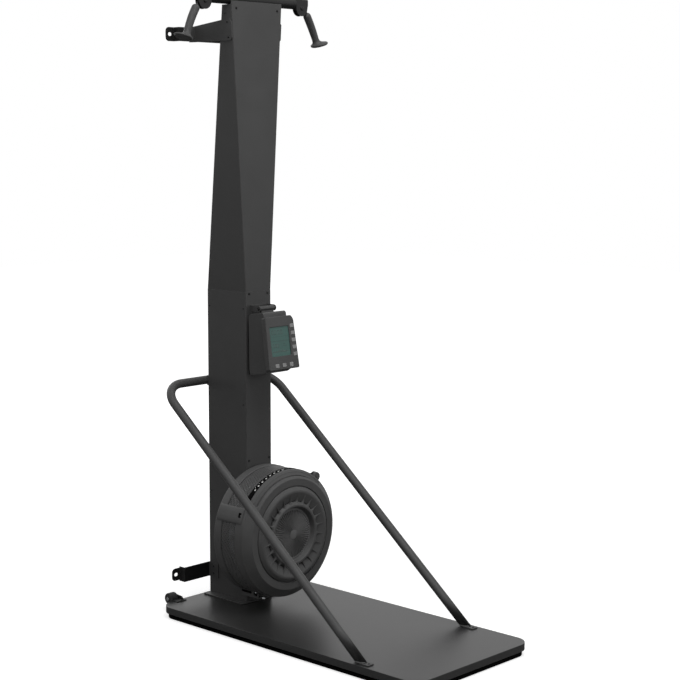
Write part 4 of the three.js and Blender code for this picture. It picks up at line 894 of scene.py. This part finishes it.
def turned_at(angle, reach, profile):
    """A profile of (radius, depth) turned round a line along Y beside the drum's rim."""
    t = np.radians(angle)
    return spun(profile, 32, (reach * np.cos(t), 0, FAN_Z + reach * np.sin(t)))


make("clamp_lug_left_moulded", [saddle(148.5, 163.2, 240.4, 243.5, 240, 366)], drum_abs, "clamp_lug_left",
     cuts=[wedge(227, 246, 153.4, 157.6, 247.6, 263, 3)])
# A thin black sheet on the floor of the latch pocket: painted shade that darkens the pocket.
make("clamp_pocket_left", [wedge(234.6, 235.6, 153.2, 157.8, 247, 263.6, 3)], black_nylon_and_shade)
make("clamp_latch_left", [wedge(229.5, 236.6, 154.9, 156.7, 249.6, 256.6, 3)], drum_abs)
make("clamp_lug_right_pad", [saddle(42, 52, 239, 246, 246, 372.4)], drum_abs, "clamp_lug_right")
knob_profile = rounded([(0, 243.4), (16.6, 243.4), (17.4, 255), (9, 256.4), (9, 372.4), (0, 372.4)],
                       np.array([0.5, 2.6, 1.6, 0.6, 1.4, 0.5]), 5)
rim = [spun(rect(0, 230, 235.2, 380), 160, AXIS)]
make("clamp_knob_right", [turned_at(48.2, 244, knob_profile)], drum_abs, cuts=rim)
# A black ring behind the knob: painted shade, the dark crescent of the knob's shadow on the drum.
make("clamp_washer_right", [turned_at(48.2, 243.6, rect(9.2, 256.6, 17.8, 263))], black_nylon_and_shade, cuts=rim)
block_x = np.linspace(-101, -80, 7)
block = [(-101, 88.6), *zip(block_x, FAN_Z - np.sqrt(233.6 ** 2 - block_x ** 2)), (-80, 88.6)]
side_slot = slab((320, 100.4), (371.4, 110), 3, [(0, -104), (0, -93)], axis=0)
recess, recess_shade = [spun(rect(0, x0, radius, x1), 32, (0, 299, 105.2), axis=0)
                  for x0, radius, x1 in ((-104, 9.8, -94.6), (-97, 10.4, -94))]
make("clamp_lug_lower_block", [prism(block, 1, 284, 372.4)], drum_abs, "clamp_lug_lower",
     cuts=[side_slot, recess], edge=1.0, segments=3)
# Black shells behind the slot and the screw recess: painted shade that darkens them.
make("clamp_slot_lining", [prism(rect(-97.5, 99.6, -94, 110.8), 1, 319, 372), recess_shade], black_nylon_and_shade)
make("clamp_screw_lower", [screw((-97, 301.6, 107.6), LEFT, 3.8, 3)], zinc)
bolt_at = (-94, 0, 94.6)
bolt_head = rounded([(0, 259), (3.4, 259), (5, 261), (5, 267), (0, 267)], 0.8, 3)
make("clamp_bolt_lower", [spun(bolt_head, 20, bolt_at)], zinc)
make("clamp_bolt_shank_lower", [spun(rect(0, 266.8, 4.2, 286), 20, bolt_at)], oxide)


# Brace. One tube of 32 mm, bent round behind the post and welded to a screwed pad there; each end is cut
# level and welded to a small foot that is screwed to the deck.
BRACE = {"x": 271.0, "foot_y": -382.4, "deck": 45.2, "corner_y": 606.8, "corner_z": 853.9, "bend": 93.0, "cut": 49.8}
# The tube's coat is a shade lighter than the post's.
brace_paint = powder_coat("mid_grey_powder_coat_on_tube", "#484848", "#424242", 0.48)


def brace_path():
    """From the left foot straight up to the left corner, across behind the post and down to the right foot:
    each corner is a quarter of an ellipse between points one bend away along both legs."""
    foot = np.array([-BRACE["x"], BRACE["foot_y"], BRACE["deck"]])
    corner = np.array([-BRACE["x"], BRACE["corner_y"], BRACE["corner_z"]])
    down = (foot - corner) / np.linalg.norm(foot - corner)
    t = np.linspace(0, np.pi / 2, 24)[:, None]
    bend = corner + BRACE["bend"] * (down * (1 - np.sin(t)) + np.array(RIGHT) * (1 - np.cos(t)))
    leg = np.linspace(foot, bend[0], 10)[:-1]
    half = np.concatenate([leg, bend, np.linspace(bend[-1], corner * (0, 1, 1), 4)[1:-1]])
    return np.concatenate([half, half[::-1] * (-1, 1, 1)]), down


path, down = brace_path()
rings = along(path, np.cross(down, RIGHT), circle(16, 40))
for end in (0, -1):
    rings[end] += down * ((BRACE["cut"] - rings[end][:, 2]) / down[2])[:, None]
mount = slab((-60, 834.9), (60, 872.9), 5, [(0.8, 586.3), (0, 587.1), (0, 598), (0.8, 598.8)], axis=1)
make("brace_bent_tube", [skin(rings), mount], brace_paint, "brace_tube")
make("brace_mount_screws", pairs([(46, 598.8, BRACE["corner_z"])], REAR, 6, 3), oxide)
for side, word in SIDES:
    x = side * BRACE["x"]
    plate = slab((x - 16, -422.4), (x + 16, -366.4), 5, [(0.4, 45.5), (0, 45.9), (0, 49), (0.5, 49.5)], steps=6)
    make(f"brace_foot_plate_{word}", [plate], brace_paint, f"brace_foot_{word}")
    make(f"brace_foot_screw_{word}", [screw((x, -413, 49.5), UP, 5, 1.6)], oxide)
    bead, centre = circle(1, 48) * (19, 24), rings[0 if side < 0 else -1].mean(0)[:2]
    weld = [np.insert(bead * k + centre, 2, z, axis=1)
            for k, z in ((0.98, 49.4), (1, 50), (0.97, 51.4), (0.9, 52.6), (0.84, 53.2))]
    make(f"brace_foot_weld_{word}", [skin(np.array(weld))], brace_paint)


# Transport wheels. A rubber roller behind each rear corner of the deck turns on a bright bolt that one
# cheek of a folded bracket carries; the bracket's base is screwed to the deck. The rubber is a dull dark grey.
tread_rubber = plain("vulcanised_rubber_tread", "#303030", "#292929", 12.0, 1.4, (0.6, 0.8), 0.3,
                     bump=(0.35, 0.4), detail=3.0)
WHEEL_X, WHEEL_Y, WHEEL_Z = 222.0, 625.0, 49.0
for side, word in SIDES:
    low_x, high_x = sorted((side * 192, side * 237))
    base = slab((low_x, 572.7), (high_x, 602.7), 3, [(0.4, 45.5), (0, 45.9), (0, 48.1), (0.4, 48.5)], steps=5)
    cheek = [(572.9, 46), (586.7, 59.5), *arc_points(WHEEL_Y, WHEEL_Z, 14, 90, -90, 18), (606, 41.5), (605.7, 46)]
    make(f"wheel_bracket_plates_{word}", [base, prism(cheek, 0, *sorted((side * 202.2, side * 205.2)))],
         black_coat, f"wheel_bracket_{word}", edge=0.4)
    bolt = spun(rounded(rect(0, side * 199.2, 5, side * 239), 0.5), 24, (0, WHEEL_Y, WHEEL_Z), axis=0)
    head = prism(rounded(circle(7, 6), 0.8, 3) + (WHEEL_Y, WHEEL_Z), 0, side * 238.8, side * 241.8)
    make(f"wheel_bolt_{word}", [bolt, head], zinc, edge=0.5)
    make(f"wheel_bracket_screws_{word}", [screw((side * x, 581, 48.5), UP, 3.6, 1.6) for x in (214, 229)], oxide)
    tread = rounded(both_ways([(5.4, -16), (9, -16), (9.6, -14.8), (13.2, -14.8), (14, -16), (19.5, -15.7), (21, -13),
                               (21, -0.7)], [(20.2, 0)]), 0.6, 3)
    make(f"transport_roller_{word}", [spun(tread, 72, (side * WHEEL_X, WHEEL_Y, WHEEL_Z), axis=0)], tread_rubber,
         f"transport_wheel_{word}", f"wheel_{word}")


# Wall fixings. Black coated straps with stepped, slotted tabs, across the back of the column and the post,
# and a tapered plate on each side of the column that carries the upper one.
def dressed(name, source, finish, edge):
    """A copy of a CAD node's mesh, its loose triangles merged and its flat faces joined, with bevelled
    edges of the given radius in millimetres, in the node's place."""
    mesh = frame["nodes"][source].data.copy()
    mesh.name = name
    work = bmesh.new()
    work.from_mesh(mesh)
    bmesh.ops.remove_doubles(work, verts=work.verts, dist=5e-6)
    bmesh.ops.dissolve_limit(work, angle_limit=np.radians(0.4), verts=work.verts, edges=work.edges)
    work.to_mesh(mesh)
    work.free()
    thing = linked(name, mesh)
    eased(thing, edge, 2, "MITER_SHARP")
    body = next(b for b, nodes in frame["record"]["behaviour"]["bodies"].items() if source in nodes)
    return settle(thing, finish, source, body)


dressed("upper_wall_strap_folded", "upper_wall_strap", black_coat, 0.8)
strap = dressed("lower_wall_strap_folded", "lower_wall_strap", black_coat, 0.8).data
# The ears that lie on the post's sides are coated with the post, so they are grey.
strap.materials.append(grey_coat)
normals, centres = np.zeros(3 * len(strap.polygons)), np.zeros(3 * len(strap.polygons))
strap.polygons.foreach_get("normal", normals)
strap.polygons.foreach_get("center", centres)
on_ear = (np.abs(normals[::3]) > 0.9) & (centres[1::3] < 580 * MM)
strap.polygons.foreach_set("material_index", on_ear.astype(np.int32))
for _, word in SIDES:
    dressed(f"upper_wall_plate_folded_{word}", f"upper_wall_plate_{word}", grey_coat, 0.5)
make("wall_fixing_screws",
     pairs([(column_half(z) + 3.2, y, z) for y, z in ((406, 2152), (402, 2099.5))], (1, 0, -SPLAY), 4, 2)
     + pairs([(66.6, 562, z) for z in (124, 152)], RIGHT, 4, 2) + pairs([(30, 589.3, 138)], REAR, 5, 2.6), oxide)


# Monitor. Two ABS shells hung by a knuckle from a steel bracket on the post, so that the lower edge tilts
# out. Its face leans back by 9 degrees; a soft rubber key sits in each opening of the front shell.
TILT = np.radians(9)
monitor_abs = moulded("moulded_abs_monitor_dark_grey", "#3e3e3e", "#3c3c3c", 0.45, 1.2, 0.3)


def hung(shells):
    """Shells in the monitor's own frame (across, depth, height), leant back by the tilt and set on the post:
    depth and height turn by 9 degrees about the across axis."""
    cos, sin = np.cos(TILT), np.sin(TILT)
    lean_back = np.array([[1, 0, 0], [0, cos, -sin], [0, sin, cos]])
    return [(points @ lean_back + (0, 310, 925), quads, ends) for points, quads, ends in shells]


def bezel(inset, corner):
    """The outline of the monitor's face, drawn in by an inset: narrower at the top, with one cut corner."""
    loop = [(inset - 76, inset - 11), (76 - inset, inset - 11), (70.47 - inset, 166 - inset / 2),
            (60 - inset / 2, 181 - inset), (inset - 70, 181 - inset)]
    return rounded(loop, corner * np.array([1, 1, 0.8, 0.8, 1]), 6)


def set_back(loops):
    """Outlines in the face's plane, each set at its own depth."""
    return skin(np.array([np.insert(loop, 1, depth, axis=1) for depth, loop in loops]))


def window(x, z, w, h, corner, steps):
    """A rectangle in the face's plane round a centre, with half its width and height and eased corners."""
    return rounded(rect(x - w, z - h, x + w, z + h), corner, steps)


def opening(x, z, w, h, corner, flare):
    """A rectangular hole through the face with eased corners, wider in front by a flare."""
    return set_back([(depth, window(x, z, w + out, h + out, corner + out, 5))
                     for depth, out in ((-58, 0), (-62.2, 0), (-66, flare * 2.1))])


keys = [(f"button_column_{i + 1}", np.interp(z, (-11, 181), (76, 70)) - 13.8, z)
        for i, z in enumerate(np.linspace(143, 40, 5))]
keys += [(f"button_row_{i + 1}", x, 4.0) for i, x in enumerate((-35.5, 0.0, 35.5))]
shell_rings = [(depth, bezel(inset, corner)) for depth, inset, corner in (
    (-61, 3, 3.5), (-44, 3, 3.5), (-44, 0, 6), (-61.4, 0, 6), (-62.6, 0.35, 5.8), (-63.5, 1.2, 5.2), (-64, 2.6, 4.2))]
holes = [opening(-6.5, 91, 47.5, 53, 2.5, 1.4)] + [opening(x, z, 9.4, 7.4, 2.2, 0.3) for _, x, z in keys]
make("monitor_front_shell", hung([set_back(shell_rings)]), monitor_abs, "monitor_front", "monitor", hung(holes))
rear_side = rounded([(-43.7, 200), (-43.7, -8), (-19.7, -20), (38, -20), (62, -20), (62, 4), (34, 200)],
                    np.array([10, 5, 8, 0.1, 20, 0.1, 16]), 6)
make("monitor_rear_shell", hung([prism(rear_side, 0, -57, 57)]), monitor_abs, "monitor_rear", "monitor",
     edge=4.0, segments=5)
knuckle = spun(rounded(rect(3.7, -36, 9, 36), 1, 3), 40, (0, -3.7, 215), axis=0)
web = prism(rounded(rect(-8.2, 196, 0.8, 214), 0.6), 0, -30, 30)
make("monitor_knuckle", hung([knuckle, web]), monitor_abs, body="monitor", edge=0.6)
shell_screws = pairs([(46, 62 - (z - 4) / 7, z) for z in (30, 165)], (0, 1, 0.143), 3.4, 1.2)
make("monitor_shell_screws", hung(shell_screws), oxide, body="monitor")
dressed("monitor_neck_bracket", "monitor_bracket", grey_coat, 0.6)
make("monitor_pivot_screws", pairs([(39.4, 340, 1137.9)], RIGHT, 6, 3), oxide)

# Reflective liquid crystal display: a grey green pane, slightly glossy, with darker segments that stand
# 0.15 mm proud of it so that they show.
pane = plain("grey_green_display_pane", "#3d615b", "#365650", 50.0, 100 / 3, (0.16, 0.26), 0.25)
ink = plain("dark_display_segments", "#26403a", "#203631", 8.0, 2.0, (0.2, 0.3), detail=1.0)
make("monitor_display_pane", hung([prism(rounded(rect(-58, 34, 45, 148), 1), 1, -60.7, -58.7)]), pane, "monitor_screen",
     "monitor")


def bar(x0, z0, x1, z1):
    """One flat segment of the display between two corners, proud of the pane by 0.15 mm."""
    return prism(rect(x0, z0, x1, z1), 1, -60.85, -60.6)


def zero(x, z, wide=9.0, tall=16.0, line=1.7):
    """A seven-segment nought: the top, two upright on the right, the bottom and two on the left."""
    right, middle, top = x + wide, z + tall / 2, z + tall
    return [bar(x, top - line, right, top), bar(right - line, middle, right, top), bar(right - line, z, right, middle),
            bar(x, z, right, z + line), bar(x, z, x + line, middle), bar(x, middle, x + line, top)]


marks = [part for x in (-44, -30, -14, 0) for part in zero(x, 116)]
marks += [bar(-19, 120, -17.6, 121.6), bar(-19, 127, -17.6, 128.6), bar(-50, 92, 37, 93.2), bar(-50, 108, 37, 108.6)]
marks += [part for x in (-44, -32, -20) for part in zero(x, 70, 7, 13, 1.4)]
columns = (3, 4, 6, 5, 7, 8, 6, 9, 7, 5, 6, 4, 3)
marks += [bar(6.5 * k - 46, 52, 6.5 * k - 42, 52 + high) for k, high in enumerate(columns)]
marks += [bar(8, 74, 26, 75.2), bar(8, 80, 20, 81.2)]
make("monitor_display_segments", hung(marks), ink, body="monitor")

# Silicone rubber keys, light grey, matt, with a slightly crowned top and a small moulded dimple.
silicone = plain("light_grey_silicone_keys", "#8c8c8c", "#828282", 10.0, 1.0, (0.5, 0.65),
                 bump=(0.15, 0.2))
for name, x, z in keys:
    loops = [(depth, window(x, z, 9 - inset, 7 - inset, max(2 - inset * 0.3, 0.5), 4)) for depth, inset in (
        (-59.2, 0), (-64.2, 0), (-64.9, 0.3), (-65.15, 0.9), (-65.2, 2.2), (-65.2, 4.4), (-64.9, 5))]
    make(f"key_{name}", hung([set_back(loops)]), silicone, name, name)
